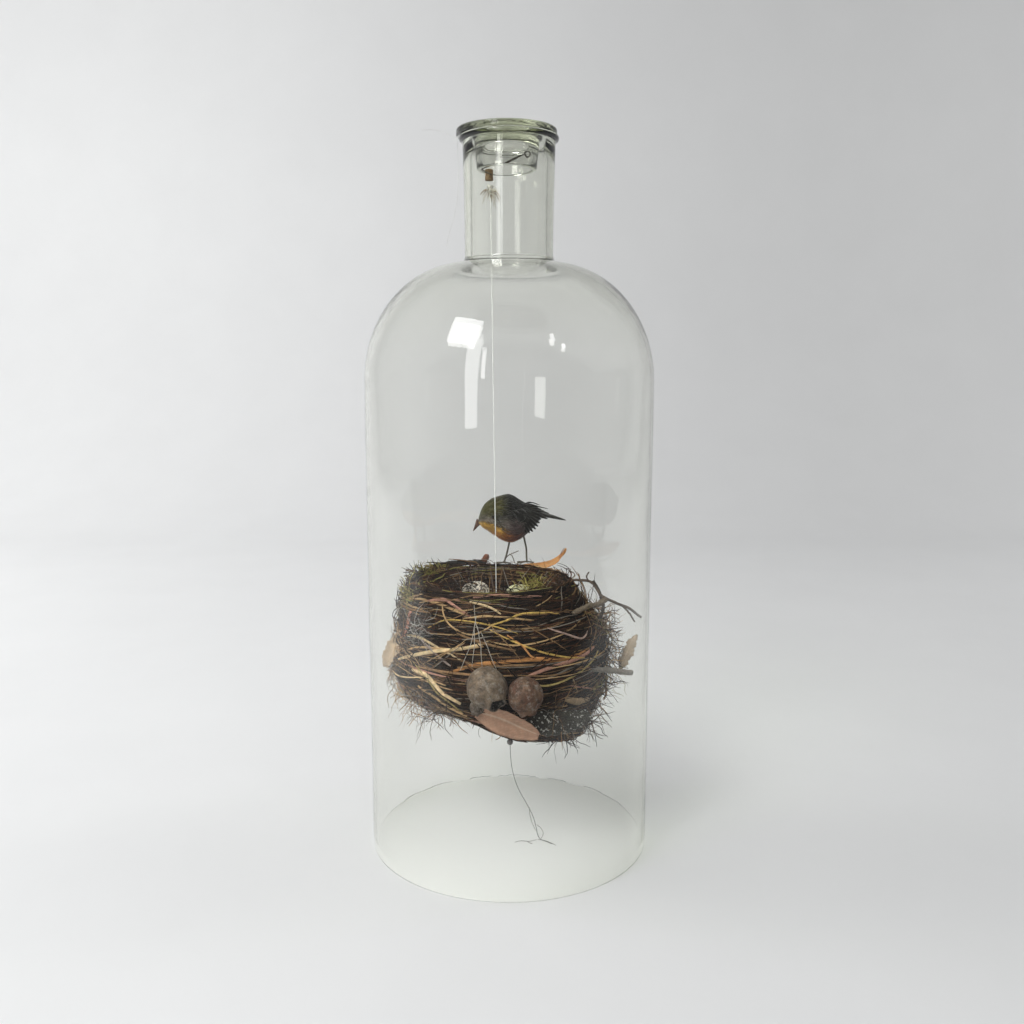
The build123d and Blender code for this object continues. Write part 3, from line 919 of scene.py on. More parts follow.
MOSS_GREEN = (0.24, 0.22, 0.05)
MOSS_YELLOW = (0.5, 0.44, 0.14)
MOSS_MIX = ((3, MOSS_GREEN), (3, OLIVE), (3, MOSS_YELLOW), (2, BROWN), (1, TAN))
MOSS_LEFT = ((3, MOSS_GREEN), (2, OLIVE), (4, BROWN), (1, TAN))
COBWEB = (0.5, 0.49, 0.46)
STRAW_MIX = ((2, TAN), (3, STRAW), (2, COBWEB))
EGG_HAIR = ((3, DARK), (2, BROWN), (1, TAN))
moss_left_middle, moss_left_half = place("moss_left")
moss_right_middle, moss_right_half = place("moss_right")
egg_left_middle = place("egg_left")[0]
egg_right_middle = place("egg_right")[0]
moss_one = Strands()
middle = moss_left_middle + (0, -4, 6)
tangle(moss_one, middle, moss_left_half * (0.8, 1.2, 0.7), 200, MOSS_LEFT, (0.2, 0.4), 12.0)
tangle(moss_one, moss_left_middle + (14, 14, 7), (12, 14, 5), 90, MOSS_LEFT, (0.2, 0.4), 12.0)
moss_one.make("moss_tuft_left", ["moss_left"], moss_look)
moss_two = Strands()
middle = moss_right_middle + (5, -8, 1)
tangle(moss_two, middle, moss_right_half * (1.35, 1.1, 0.8), 620, MOSS_MIX, (0.25, 0.6), 11.0)
tangle(moss_two, egg_right_middle + (5, -3, 5), (9, 6, 4), 55, MOSS_MIX, (0.2, 0.45), 12.0)
moss_two.make("moss_tuft_right", ["moss_right"], moss_look)

crossings = Strands()
for middle, size, count in (
    (egg_left_middle + (0, -6, 6), (14, 6, 5), 42),
    (egg_right_middle + (-4, -7, 5), (13, 6, 4), 26),
):
    tangle(crossings, middle, size, count, EGG_HAIR, (0.25, 0.45), 15.0, 0.9)
crossings.make("hair_over_eggs")

tufts = Strands()
for angle, height, size, count, palette in (
    (-75, 124, (5, 14, 12), 80, ((2, GREY), (2, BROWN), (1, OLIVE), (1, COBWEB))),
    (-66, 139, (7, 12, 4), 60, ((2, OLIVE), (1, MOSS_YELLOW), (3, BROWN))),
    (-48, 112, (12, 6, 15), 90, ((3, COBWEB), (2, GREY), (1, BROWN))),
    (-80, 80, (8, 12, 12), 70, STRAW_MIX),
    (-80, 64, (8, 12, 11), 90, STRAW_MIX),
    (-60, 92, (9, 10, 13), 60, ((3, TAN), (2, STRAW), (1, GREY))),
    (-60, 52, (12, 12, 6), 90, STRAW_MIX),
    (-38, 48, (14, 8, 6), 90, ((3, TAN), (2, GREY), (2, BROWN))),
    (30, 47, (10, 6, 7), 60, ((2, BROWN), (2, TAN), (1, GREY))),
    (72, 118, (5, 14, 9), 50, ((2, BROWN), (2, TAN), (1, OLIVE))),
    (88, 102, (10, 14, 12), 90, ((3, TAN), (2, STRAW), (2, BROWN))),
    (82, 80, (11, 14, 14), 100, ((3, TAN), (2, STRAW), (2, BROWN), (1, GREY))),
    (72, 60, (11, 12, 12), 90, ((2, BROWN), (2, TAN), (1, OLIVE))),
    (36, 22, (9, 7, 8), 80, ((4, DARK), (2, BROWN))),
    (58, 30, (10, 9, 9), 80, ((3, BROWN), (2, GREY), (1, TAN))),
    (150, 120, (20, 9, 14), 90, ((2, GREY), (2, BROWN), (2, OLIVE))),
    (215, 80, (20, 9, 20), 90, ((2, TAN), (2, BROWN), (1, GREY))),
    (120, 60, (14, 9, 18), 80, ((2, TAN), (2, BROWN), (1, DARK))),
):
    tangle(tufts, on_nest(angle, height, 2.0), size, count, palette, (0.14, 0.42), 30.0, 1.2, 0.6)
for tube in tufts.tubes:
    tube[0][:] = shortened(tube[0])
tufts.make("nest_tufts")


# ---------------------------------------------------------------- stalks that stand out
def stalk(strands, route, radius, tint, flat=1.0, lift=(1.5, 1.5), taper=0.35, count=26):
    """One stalk over the weave, through (angle, height) points, with a lift at each end."""
    at = smooth_line(np.array([(a, h, 0.0) for a, h in route]), count)
    off = np.linspace(lift[0], lift[1], count)
    line = inside_jar(on_nest(at[:, 0], at[:, 1], off))
    strands.add(line, radius, tint, flat=flat, sides=8, taper=taper, wide=(0, 0, 1))


PALE = (0.74, 0.57, 0.34)
ORANGE = (0.56, 0.27, 0.1)
YELLOW = (0.6, 0.41, 0.12)
PINKISH = (0.46, 0.25, 0.19)
OLIVE_STRAW = (0.42, 0.33, 0.13)
PINK = (0.62, 0.3, 0.22)
stalks = Strands()
for row in (
    ([(-64, 84), (-53, 91), (-36, 100), (-18, 106), (-5, 112)], 1.6, PALE, 0.4, (5, 2)),
    ([(-62, 92), (-45, 101), (-25, 104), (-8, 108)], 1.0, STRAW, 0.5, (3, 2)),
    ([(-30, 139), (-28, 130), (-22, 121), (-13, 117), (-5, 121), (2, 126)], 0.75, STRAW, 1, (4, 3)),
    ([(-2, 124), (9, 128), (18, 132), (34, 131), (44, 128)], 1.0, YELLOW, 0.7, (3, 2)),
    ([(-40, 118), (-28, 126), (-14, 127), (0, 124), (12, 118)], 0.7, YELLOW, 0.8, (2, 3)),
    ([(-2, 121), (8, 112), (22, 102), (36, 95), (46, 92)], 0.85, YELLOW, 0.8, (3, 3)),
    ([(6, 117), (12, 108), (16, 99), (24, 95)], 0.85, ORANGE, 0.8, (3, 3)),
    ([(-24, 86), (-13, 93), (1, 96), (16, 97), (34, 94), (52, 97)], 2.0, ORANGE, 0.35, (2, 1.5)),
    ([(-22, 90), (-8, 92), (6, 93), (22, 92)], 1.1, TAN, 0.5, (3, 2)),
    ([(-50, 80), (-39, 79), (-30, 69), (-20, 58)], 1.9, PALE, 0.6, (3, 4), 0.6),
    ([(-44, 68), (-36, 62), (-28, 52), (-20, 46)], 1.2, STRAW, 0.6, (3, 4), 0.6),
    ([(12, 82), (22, 88), (33, 91), (47, 94), (56, 98)], 1.7, PINKISH, 0.4, (2, 3), 0.5),
    ([(14, 80), (22, 74), (32, 75), (46, 82), (58, 94)], 0.9, OLIVE_STRAW, 0.8, (3, 4)),
    ([(-55, 128), (-57, 118), (-60, 108), (-66, 102)], 1.5, PINK, 0.5, (4, 3), 0.6),
    ([(-44, 108), (-34, 98), (-26, 90)], 1.0, (0.36, 0.29, 0.26), 1, (4, 2), 0.5),
    ([(-50, 88), (-38, 76), (-28, 60), (-22, 48)], 0.7, OLIVE_STRAW, 1, (4, 3)),
    ([(-42, 139), (-30, 142), (-20, 136), (-12, 130)], 1.4, PINKISH, 0.4, (3, 1), 0.5),
    ([(-66, 135), (-48, 139), (-30, 137), (-14, 131)], 1.1, STRAW, 0.5, (2, 2)),
    ([(-12, 142), (-4, 140), (2, 137), (6, 133)], 1.0, PALE, 0.5, (3, 4), 0.5),
    ([(-10, 145), (6, 147), (22, 145), (40, 143)], 1.2, PINKISH, 0.5, (1, 1)),
    ([(16, 145), (30, 147), (46, 146), (60, 140)], 0.9, TAN, 0.7, (1, 1)),
    ([(30, 120), (38, 114), (47, 108), (54, 112)], 0.9, (0.42, 0.3, 0.26), 1, (3, 4)),
    ([(76, 66), (77, 52), (78, 40)], 1.3, TAN, 0.8, (6, 8), 0.7),
    ([(36, 58), (46, 52), (56, 50)], 3.2, (0.36, 0.26, 0.16), 0.25, (3, 3)),
):
    stalk(stalks, *row)
RANDOM_STALKS = 70
for _ in range(RANDOM_STALKS):
    angle = uniform(-80, 290)
    height = uniform(15, 140)
    run = uniform(18, 60)
    slant = normal(0, 12)
    bend = height + slant * 0.3 + normal(0, 3)
    route = [(angle, height), (angle + run * 0.4, bend), (angle + run, height + slant)]
    route = [(a, min(max(h, 4), 143)) for a, h in route]
    colour = pick((3, TAN), (3, STRAW), (1, PALE), (1, ORANGE), (2, PINKISH), (1, GREY))
    size, flat = uniform(0.6, 1.3), uniform(0.4, 1)
    stalk(stalks, route, size, colour, flat, (uniform(1, 5), uniform(1, 4)), count=14)
stalks.make("nest_stalks", ["reed_front", "straw_left", "straw_pale", "bark_strip"])


def stragglers(strands, count, side, low, high, palette, reach):
    """Loose ends that spring out of the wall round a direction, and droop."""
    steps = 8
    for _ in range(count):
        angle = side + normal(0, 17)
        height = uniform(low, high)
        start = on_nest(angle, height, -4)
        out = on_nest(angle + normal(0, 25), height, 10) - on_nest(angle, height, 0)
        out[2] += normal(0, 5)
        out /= np.linalg.norm(out)
        length = uniform(*reach)
        bend = normal(0, 0.75, 3)
        line = [start]
        for _ in range(steps):
            out = out + bend * 0.45 + (0, 0, -0.05)
            out /= np.linalg.norm(out)
            line.append(line[-1] + out * length / steps)
        strands.add(shortened(smooth_line(line, 14)), uniform(0.16, 0.42), pick(*palette), sides=4)


loose = Strands()
for row in (
    (80, -84, 40, 138, PALE_MIX, (12, 34)),
    (110, 82, 30, 125, MIXED, (14, 46)),
    (45, 38, 6, 34, DARK_MIX, (8, 20)),
    (34, -40, 8, 50, PALE_MIX, (8, 22)),
    *((55, side, 15, 135, MIXED, (12, 32)) for side in (120, 165, 210, 250)),
    (40, 180, 132, 144, MIXED, (8, 18)),
    (26, -70, 132, 144, DARK_MIX, (6, 14)),
    (26, 70, 132, 144, DARK_MIX, (6, 16)),
):
    stragglers(loose, *row)
loose.make("loose_ends")


# ---------------------------------------------------------------- gumnuts
def turned(points, direction):
    """Points whose own down, -Z, is turned to a direction."""
    down = np.array(direction, float) / np.linalg.norm(direction)
    side = np.cross(down, (0, 1, 0))
    side /= np.linalg.norm(side)
    return points @ np.array([side, np.cross(side, -down), -down])


def gumnut(name, middle, direction, radius, skin, patch, node):
    """A woody seed case: domed at its stem, drawn in at its mouth, with four valves round a dark
    hole."""
    outside = [
        (0.01, 1.05), (0.16, 1.04), (0.34, 0.97), (0.6, 0.84), (0.84, 0.58), (0.98, 0.22), (1.0, -0.1),
        (0.93, -0.42), (0.78, -0.68), (0.6, -0.85), (0.5, -0.94), (0.49, -1.05), (0.44, -1.1),
    ]
    hole = [(0.37, -1.06), (0.33, -0.9), (0.3, -0.6), (0.2, -0.45), (0.01, -0.42)]
    profile = np.array(outside + hole) * radius
    turns = 64

    def weathered(ring, angle):
        lump = 0.03 * math.sin(3 * angle + radius) + 0.02 * math.sin(7 * angle)
        ring[:, :2] *= 1 + (lump + 0.012 * math.sin(17 * angle))
        valve = 0.1 * radius * abs(math.sin(2 * angle))
        ring[:, 2] -= np.where(ring[:, 2] < -0.9 * radius, valve, 0)
        return ring

    points, faces = open_lathe(profile, turns, weathered)
    inside = np.tile(np.arange(len(profile)) >= len(outside), turns)
    x, y, z = points.T
    blotch = 0.5 + 0.5 * np.sin(x * 0.35 + 1) * np.sin(z * 0.28 + y * 0.2)
    tints = np.array(skin) * (1 - blotch[:, None]) + np.array(patch) * blotch[:, None]
    # the hole's inside is coloured near black: painted shade of the case's deep hollow
    tints[inside] = (0.012, 0.009, 0.007)
    piece(name, turned(points, direction) + middle, faces, nut_look, "nest", [node], tints)


BUD_RADIUS = place("gumnut_bud")[1][0] * 1.15
for name, shift, direction, radius, skin, patch in (
    ("left", (0, -0.5, 2), (0.5, -0.78, -0.62), 16.4, (0.21, 0.165, 0.125), (0.12, 0.09, 0.068)),
    ("right", (-3.5, 0.5, 1.5), (0.15, -0.3, -0.9), 14.4, (0.15, 0.095, 0.065), (0.1, 0.045, 0.03)),
    ("bud", (0, 0, 1), (-0.3, -0.2, -0.9), BUD_RADIUS, (0.12, 0.1, 0.085), (0.07, 0.055, 0.045)),
):
    node = "gumnut_" + name
    gumnut("gumnut_case_" + name, place(node)[0] + shift, direction, radius, skin, patch, node)


# ---------------------------------------------------------------- leaves, bark and papery strips
def leaf(name, node, spine, across, width, dish, thickness, look, slot, tint, vein, ragged, power):
    """A thin closed blade that stands for a CAD node, along a spine round the node's middle. Its edges
    lift by dish and are uneven by ragged, and power is how fast it widens from its ends."""
    rows, columns = 44, 15
    line = smooth_line(place(node)[0] + np.array(spine), rows)
    along = np.gradient(line, axis=0)
    along /= np.linalg.norm(along, axis=1)[:, None]
    across = np.array(across, float)
    points, tints = [], []
    for side in (1, -1):
        for i in range(rows):
            t = i / (rows - 1)
            spread = across - along[i] * np.dot(across, along[i])
            spread /= np.linalg.norm(spread)
            up = np.cross(along[i], spread)
            half = width / 2 * max(math.sin(math.pi * min(max(t, 0.012), 0.988)) ** power, 0.04)
            half *= 1 + ragged * math.sin(17 * t) * math.sin(41 * t + 1)
            for j in range(columns):
                v = 2 * j / (columns - 1) - 1
                lift = dish * v * v + 0.02 * width * math.sin(9 * t + 3 * v) * abs(v)
                thin = thickness / 2 * (1 - 0.6 * abs(v))
                points.append(line[i] + spread * half * v + up * (lift + side * thin))
                side_vein = ((t * 14 - 3 * abs(v)) % 1 - 0.5) / 0.13
                rib = min(math.exp(-((v / 0.06) ** 2)) + 0.45 * math.exp(-(side_vein**2)), 1.0)
                tints.append(np.array(tint) * (1 - rib) + np.array(vein) * rib)
    faces = []
    count = rows * columns
    for i in range(rows - 1):
        for j in range(columns - 1):
            a = i * columns + j
            faces.append((a, a + columns, a + columns + 1, a + 1))
            faces.append((count + a, count + a + 1, count + a + columns + 1, count + a + columns))
    edge = [(i * columns, (i + 1) * columns) for i in range(rows - 1)]
    edge += [((rows - 1) * columns + j, (rows - 1) * columns + j + 1) for j in range(columns - 1)]
    edge += [((i + 1) * columns - 1 + columns, (i + 1) * columns - 1) for i in reversed(range(rows - 1))]
    edge += [(j + 1, j) for j in reversed(range(columns - 1))]
    faces += [(b, a, a + count, b + count) for a, b in edge]
    piece(name, points, faces, look, "nest", [node], np.array(tints))


BARK = (0.05, 0.045, 0.03)
for row in (
    (
        "terracotta_leaf", "leaf_under",
        [(-26, -2, 18), (-15, -6, 17), (-2, -8, 13), (12, -7, 6), (26, -4, -1)],
        (0.28, -0.42, 0.86), 27, 4.0, 1.1, blade_look, "dry_leaf",
        (0.43, 0.255, 0.18), (0.57, 0.43, 0.33), 0.04, 0.5,
    ),
    (
        "curled_bark", "bark_curl",
        [(-30, -9, 8), (-20, -11, 7), (-4, -10, 6), (14, -6, 6), (30, 5, 9)],
        (0.1, -0.35, 0.93), 27, -7.0, 2.2, bark_skin, "dark_bark", BARK, BARK, 0.1, 0.35,
    ),
    (
        "rim_blade", "rim_strip",
        [(-32, 1, -6.5), (-16, 2, -6), (-2, 1, -4.5), (8, 0, 0), (15, -1, 7.5)],
        (0.1, 0.5, 0.85), 6.5, 1.0, 0.8, blade_look, "straw", ORANGE, STRAW, 0.1, 0.35,
    ),
):
    leaf(*row)
strip_middle = place("rim_strip")[0]
fork = Strands()
for route, size, tint in (
    ([(10, -1, 2.5), (15, -1, 8), (17.5, -1, 12.5)], 1.5, ORANGE),
    ([(11, -1, 3), (13, -1, 9), (16, -1, 13)], 1.1, PINKISH),
):
    fork.add(smooth_line(strip_middle + np.array(route), 10), size, tint, 0.4, 6)
fork.make("rim_blade_tips")
for row in (
    (
        "papery_blade", "papery_strip",
        [(-6, 2, -17), (-3, 0, -8), (1, -2, 2), (4, -2, 10), (9, 0, 17)],
        (0.8, -0.5, -0.2), 10, 2.0, 0.6, blade_look, "straw",
        (0.42, 0.33, 0.24), (0.55, 0.44, 0.33), 0.25, 0.5,
    ),
    (
        "beige_blade", "beige_leaf",
        [(12, -4, 17), (6, -6, 8), (0, -7, -1), (-5, -6, -10), (-8, -3, -19)],
        (0.7, -0.6, -0.3), 15, 3.0, 0.7, blade_look, "straw",
        (0.46, 0.35, 0.24), (0.6, 0.48, 0.35), 0.2, 0.5,
    ),
):
    leaf(*row)


# ---------------------------------------------------------------- twigs
def twig(strands, route, radius, tint, taper=0.5, kinks=0.5):
    """A knotty stick through its points."""
    line = smooth_line(route, 30)
    line[1:-1] += normal(0, kinks * 0.3, (len(line) - 2, 3))
    strands.add(line, radius, tint, sides=9, taper=taper, swell=0.15)


TWIG = (0.11, 0.085, 0.07)
GREY_TWIG = (0.26, 0.24, 0.215)
KNOT_BARK = (0.06, 0.05, 0.045)
STICK = (0.045, 0.042, 0.04)
fork_middle, fork_half = place("twig_fork")
fork_low = fork_middle - fork_half
upper_middle, lower_middle, sprig_middle, stick_middle = (
    place(node)[0] for node in ("stub_upper", "stub_lower", "twig_left", "rim_stick")
)
twigs = Strands()
for middle, route, *rest in (
    (
        fork_low,
        [(0, 20, 35), (12, 14, 37.5), (26, 8, 36.5), (33, 0.5, 27), (46, 0, 20), (58, 0, 15), (69, 1, 6.5)],
        1.25, TWIG,
    ),
    (fork_low, [(27, 8, 38), (31, 4, 31), (35, 0, 20), (34.5, -1, 12), (32, -2, 5)], 1.5, KNOT_BARK, 0.6),
    (fork_low, [(52, 0, 17.5), (58, -1, 11), (63, -1, 3)], 0.8, TWIG),
    (fork_low, [(23, 9, 37), (21, 8, 42), (23, 8, 46)], 0.6, TWIG),
    (upper_middle, [(-14, 1, -6), (-2, 0, 1), (7, -1, 3), (14, -1, 8)], 2.3, (0.15, 0.12, 0.09), 0.85, 1.2),
    (lower_middle, [(-20, -12, 5), (-6, -4, 2), (6, 4, -2), (19, 12, -6)], 2.5, GREY_TWIG, 0.95, 0.8),
    (sprig_middle, [(-13, -7, 9), (-7, -3, 3), (3, 1, -2), (12, 6, -8)], 1.1, GREY_TWIG, 0.6),
    (stick_middle, [(-26, -6, -1.5), (-8, 1, 0), (8, 4, 0.5), (26, 8, -1)], 2.3, STICK, 0.8, 1.0),
    (stick_middle, [(22, 10, -4), (25, 9, 2), (27, 9, 5)], 3.0, (0.24, 0.1, 0.07), 0.7, 1.5),
):
    twig(twigs, middle + np.array(route), *rest)
twig(twigs, on_nest([5, 8, 14], [137, 146, 147], [-55, -66, -70]) + (0, 0, 6), 0.6, TWIG)
for route in (
    [(-55, 48), (-48, 44), (-40, 38)], [(-52, 38), (-46, 33), (-38, 30)], [(-8, 86), (-14, 84), (-16, 77)],
):
    at = smooth_line(np.array([(a, h, 0.0) for a, h in route]), 8)
    twig(twigs, on_nest(at[:, 0], at[:, 1], 5), 0.8, TWIG)
for route in (
    [(-3, 77, 244), (-0.4, 76, 247), (4, 75, 249), (9, 74, 251.3)],
    [(0.5, 76, 247.5), (2.6, 75, 246), (5.2, 75, 239.6)],
):
    twig(twigs, route, 0.5, GREY_TWIG, 0.5, 0.3)
twig_nodes = ["twig_fork", "stub_upper", "stub_lower", "twig_left", "rim_stick"]
twigs.make("twigs", twig_nodes)


# ---------------------------------------------------------------- the bird
BIRD_Y = place("bird_body")[0][1]
# along the bird, height of its middle, half its height, half its width
BIRD_SHAPE = np.array([
    (-30.0, 280, 3.4, 3.4), (-26.5, 283, 9.5, 8.5), (-19, 284.5, 15.8, 13), (-9, 283, 21, 16.5),
    (1, 282, 23.3, 17.5), (11, 281, 18.5, 15.5), (20, 282.5, 12.5, 11.5), (29, 286, 5, 7),
])
CROWN = (0.085, 0.08, 0.022)
FACE = (0.1, 0.09, 0.07)
SOOT = (0.011, 0.0105, 0.0095)
SLATE = (0.038, 0.038, 0.032)
LORE = (0.34, 0.3, 0.26)
SAFFRON = (0.62, 0.37, 0.06)
RUST = (0.5, 0.16, 0.025)
MAROON = (0.24, 0.07, 0.04)
MAUVE = (0.1, 0.076, 0.076)
# where each colour lies: along the bird, belly -1 to back 1, and how far it reaches each way
PLUMAGE = [
    (-22, 0.8, 10, 0.5, CROWN), (-13, 0.6, 6, 0.35, CROWN), (-26, 0.1, 5, 0.3, FACE),
    (-8, 0.02, 7, 0.3, SLATE), (5, 0.85, 11, 0.6, SOOT), (22, 0.4, 11, 0.9, SOOT),
    (-20, -0.12, 5, 0.1, LORE), (-14, -0.3, 8, 0.08, SOOT), (-23, -0.75, 8, 0.3, SAFFRON),
    (-13, -0.55, 7, 0.17, SAFFRON), (-7, -0.85, 9, 0.25, RUST), (5, -0.95, 7, 0.2, MAROON),
    (5, -0.4, 8, 0.35, MAUVE), (13, -0.75, 6, 0.3, MAUVE), (-4, -0.12, 4, 0.14, LORE),
    (10, -0.2, 6, 0.2, MAUVE),
]
bird_rows = smooth_line(BIRD_SHAPE, 60)


def plumage(x, rise):
    """The colour at a place along the bird and up its side, blended from the patches round it."""
    total, colour = 1e-6, np.zeros(3)
    for along, up, long, tall, shade in PLUMAGE:
        weight = math.exp(-(((x - along) / long) ** 2) - ((rise - up) / tall) ** 2)
        total += weight
        colour += weight * np.array(shade)
    return colour / total


def on_bird(x, angle, lift=0.0):
    """A point on the bird's skin: angle is 0 on its back, and grows towards its near side."""
    middle, tall, wide = (np.interp(x, bird_rows[:, 0], bird_rows[:, k]) for k in (1, 2, 3))
    return np.stack(np.broadcast_arrays(
        x, BIRD_Y - (wide + lift) * np.sin(angle), middle + (tall + lift) * np.cos(angle)
    ), axis=-1)


ROWS, COLUMNS = 70, 40
bird_points, bird_tints = [], []
for x in np.linspace(-29.9, 28.9, ROWS):
    for turn in np.arange(COLUMNS) * 2 * np.pi / COLUMNS:
        bird_points.append(on_bird(x, turn, -0.6))
        bird_tints.append(plumage(x, math.cos(turn)) * 0.7)
bird_faces = [
    (i + j, i + (j + 1) % COLUMNS, i + COLUMNS + (j + 1) % COLUMNS, i + COLUMNS + j)
    for i in range(0, (ROWS - 1) * COLUMNS, COLUMNS) for j in range(COLUMNS)
]
bird_faces += [tuple(range(COLUMNS))[::-1], tuple(range((ROWS - 1) * COLUMNS, ROWS * COLUMNS))]
piece(
    "bird_skin", bird_points, bird_faces, feather_look, "nest", ["bird_body"], bird_tints,
)

FEATHERS = 1500
HEAD_END = -14
down = Strands()
for _ in range(FEATHERS):
    x = uniform(-29, 26)
    turn = uniform(0, 2 * math.pi)
    length = uniform(4.0, 7.5) * (0.55 if x < HEAD_END else 1.0)
    t = np.linspace(0, 1, 5)
    drift = turn + normal(0, 0.12) * t
    line = on_bird(np.minimum(x + length * t, 29.5), drift, -0.5 + uniform(0.5, 1.1) * t)
    tangent = np.array([0, -math.cos(turn), -math.sin(turn)])
    shade = plumage(x + length * 0.5, math.cos(turn)) * uniform(0.75, 1.3)
    size = uniform(0.55, 0.95) * (0.6 if x < HEAD_END else 1.0)
    down.add(line, size, shade, flat=0.16, sides=6, taper=0.2, wide=tangent, swell=0.6)
down.make("bird_plumage", material=feather_look)

def quill(strands, root, tip, bow, radius, shade, shape):
    """A long feather from root to tip, bowed in its middle. shape is flat, sides, taper, wide, swell."""
    strands.add(smooth_line([root, (root + tip) / 2 + bow, tip], 14), radius, shade, *shape)


WING_TIPS = [
    (16.7, 268.8), (19.5, 269.2), (22.5, 270.6), (25.4, 273), (27.6, 275.8), (29.2, 279),
    (30.6, 282.5), (32, 286), (31, 289.5), (28, 292.5),
]


def wing(side):
    """Long quills that fan from the shoulder, the last few apart and bent. side is 1 for the right."""
    hand = "right" if side > 0 else "left"
    quills = Strands()
    for index, (x, z) in enumerate(WING_TIPS):
        for layer, share in enumerate((1.0, 0.72, 0.48)):
            root = np.array([1.0 + 1.2 * layer, BIRD_Y + side * (15.5 + layer), 292 - index * 0.3])
            end = np.array([x, BIRD_Y + side * (10.5 - 0.35 * index), z])
            tip = root + share * (end - root) + (0, side * layer * 0.8, 0)
            shade = np.array(SOOT) * uniform(0.8, 2.2)
            shape = (0.13, 6, 0.15, (0.5, 0, 0.85), 0.6)
            quill(quills, root, tip, (1.5, side * 1.6, 1.8), 2.1, shade, shape)
    apart = ((37.3, 292.4, 2.2), (25, 297.5, 3.4)) if side < 0 else ((34, 288.5, 1.0), (30, 294, 3.0))
    for x, z, kink in apart:
        root = np.array([11.0, BIRD_Y + side * 7, 293.0])
        tip = np.array([x, BIRD_Y + side * 7, z])
        quill(quills, root, tip, (0, 0, kink), 0.6, SOOT, (0.5, 6, 0.15, (0.3, 0, 0.95), 0.6))
    quills.make("wing_quills_" + hand, ["wing_" + hand], feather_look)


wing(-1)
wing(1)
TAIL_TIPS = [
    (54.8, 280.2, 0), (51, 281.4, 1.5), (47, 281.9, -1.8), (43.5, 283.2, 3), (41, 283.4, -3.4),
    (38.5, 286.5, 4), (37, 282.2, -4.6),
]
tail = Strands()
for index, (x, z, y) in enumerate(TAIL_TIPS):
    root = np.array([19.0, BIRD_Y + y * 0.5, 287.0])
    tip = np.array([x, BIRD_Y + y, z])
    shade = np.array(SOOT) * (1 + 0.2 * index)
    quill(tail, root, tip, (0, 0, 1.2), 1.9, shade, (0.14, 6, 0.08, (0, 0.5, 0.85), 0.7))
tail.make("tail_quills", ["bird_tail"], feather_look)

# ---------------------------------------------------------------- threads and root hairs
# each from one (angle, height) to another, bowed outwards
BINDINGS = [
    ((-9, 126), (-20, 88), 3), ((-8, 124), (-9, 90), 5), ((-7, 120), (-2, 89), 5),
    ((-9, 140), (-8, 118), 2), ((-8, 132), (-14, 92), 6),
]
threads = Strands()
for start, end, bow in BINDINGS:
    at = np.linspace(0, 1, 12)
    angle, height = (a + (b - a) * at for a, b in zip(start, end))
    line = on_nest(angle, height, 5 + bow * np.sin(np.pi * at))
    threads.add(line, 0.28, (0.5, 0.47, 0.42), sides=6, taper=0.7)
threads.make("binding_threads")

hairs = Strands()
for route in (
    [(18, -30, 38), (18.5, -28, 30), (21, -25, 20), (24, -22, 12)],
    [(25, -19, 16), (29, -18, 12), (31, -18, 7), (29, -18, 2)],
    [(5, -22, 0.6), (11, -20, 1.0), (18, -21, 0.9), (25, -18, 1.2)],
    [(16, -20, 0.8), (18, -23, 0.6), (21, -25, 0.6)],
    [(26, -18, 1.2), (31, -20, 1.4), (37, -23, 0.9), (42, -28, 0.6)],
):
    hairs.add(smooth_line(route, 16), 0.24, (0.22, 0.21, 0.2), sides=6, taper=0.6)
hairs.make("root_hairs")


# ---------------------------------------------------------------- finishes of the carried-over CAD nodes
def dress(material, *nodes):
    """A material for CAD nodes that are shown as they are."""
    for node in nodes:
        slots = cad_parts[node].data.materials
        slots.clear()
        slots.append(material)


dress(egg_white_look, "egg_left")
dress(egg_green_look, "egg_right")
dress(horn_look, "beak_upper", "beak_lower")
dress(eye_look, "bird_eyes")
dress(leg_look, "leg_left", "leg_right")
dress(nylon_look, "suspension_line")
dress(thread_look, "lower_knot")

# ---------------------------------------------------------------- studio
def pale_card(name):
    """Matt and pale, with painted shade that darkens it towards the right, and darker in front of the
    view, so that the jar's glass doesn't mirror it."""
    s = Shader(name)
    where = s.node("ShaderNodeTexCoord").outputs["Object"]
    axes = s.node("ShaderNodeSeparateXYZ", {"Vector": where}).outputs
    colour = s.ramp(s.noise(180.0), (0.3, (0.87, 0.875, 0.875)), (0.7, (0.89, 0.895, 0.895)))
    # along X, painted shade that darkens the card to the right; along Y, darker in front of the view
    for axis, low, high, start, end in (("X", 1.0, 0.78, -0.9, 1.2), ("Y", 0.2, 1.0, -0.54, -0.28)):
        fade = s.spread(axes[axis], low, high, start, end, interpolation_type="SMOOTHSTEP")
        colour = s.mix(1.0, colour, fade, "MULTIPLY")
    s.set(Base_Color=colour, Roughness=0.9)
    return s.material


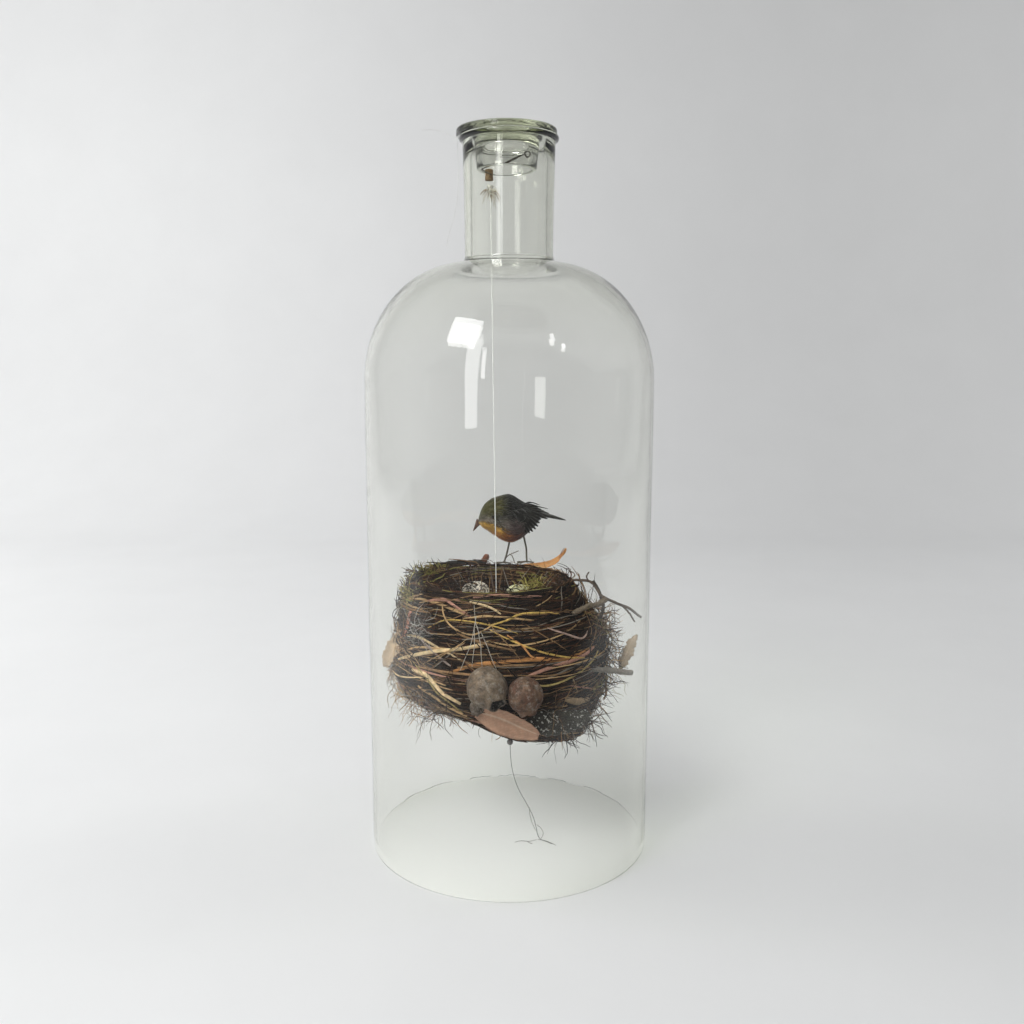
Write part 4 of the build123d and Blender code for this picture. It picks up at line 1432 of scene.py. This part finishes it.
def sweep_backdrop():
    """A floor that turns up into a wall behind the object."""
    half = 3000.0
    turn = arc((1500, 900), (900, 900), -90, 0, 24)
    section = np.vstack([[(-3000, 0), (-1000, 0), (0, 0)], turn, [(2400, 3600)]])
    points = [(x * MM, y * MM, z * MM) for x in (-half, half) for y, z in section]
    count = len(section)
    faces = [(i, i + count, i + count + 1, i + 1) for i in range(count - 1)]
    mesh = bpy.data.meshes.new("backdrop")
    mesh.from_pydata(points, [], faces)
    mesh.polygons.foreach_set("use_smooth", [True] * len(faces))
    mesh.materials.append(pale_card("pale_card"))
    made = bpy.data.objects.new("backdrop", mesh)
    bpy.context.scene.collection.objects.link(made)


sweep_backdrop()


def soft_light(name, place_mm, aim_mm, size_mm, power):
    data = bpy.data.lights.new(name, "AREA")
    data.shape = "RECTANGLE"
    data.size, data.size_y = (s * MM for s in size_mm)
    data.energy = power
    made = bpy.data.objects.new(name, data)
    made.location = [v * MM for v in place_mm]
    aim = np.array(aim_mm, float) - np.array(place_mm, float)
    made.rotation_euler = Vector(aim).to_track_quat("-Z", "Y").to_euler()
    bpy.context.scene.collection.objects.link(made)


# name, place, aim and size in millimetres, and watts
for row in (
    ("window_a", (-1250, -1450, 2050), (0, 0, 200), (900, 900), 27),
    ("wash_left", (-2300, 600, 1300), (300, 2400, 900), (900, 1600), 21),
    ("wash_right", (2300, 600, 1300), (-300, 2400, 900), (900, 1600), 16),
    ("window_b", (-950, -1800, 1050), (0, 0, 350), (380, 1700), 8),
    ("window_strip", (-680, -1950, 1050), (0, 0, 350), (110, 900), 1.6),
    ("side_left", (-2300, -200, 1300), (0, 0, 250), (1400, 1800), 6),
    ("speck_a", (1300, -1700, 1900), (0, 0, 350), (150, 260), 1.2),
    ("speck_b", (1500, -1500, 1500), (0, 0, 350), (120, 120), 0.7),
):
    soft_light(*row)
# these only light the scene: the photo's glass mirrors none of them
for name in ("wash_left", "wash_right", "side_left"):
    bpy.data.objects[name].visible_glossy = False
    bpy.data.objects[name].visible_transmission = False

# the world is brighter behind the object, towards +Y, than behind the camera
world = bpy.data.worlds.new("studio")
bpy.context.scene.world = world
sky = Tree(world)
direction = sky.node("ShaderNodeTexCoord").outputs["Generated"]
back = sky.node("ShaderNodeSeparateXYZ", {"Vector": direction}).outputs["Y"]
shade = sky.ramp(sky.spread(back, 0, 1, -1, 1), (0.1, (0.16, 0.16, 0.16)), (0.45, (0.86, 0.87, 0.88)))
glow = sky.node("ShaderNodeBackground", {"Color": shade, "Strength": 0.6}).outputs["Background"]
sky.node("ShaderNodeOutputWorld", {"Surface": glow})
bpy.context.scene.view_settings.view_transform = "Standard"
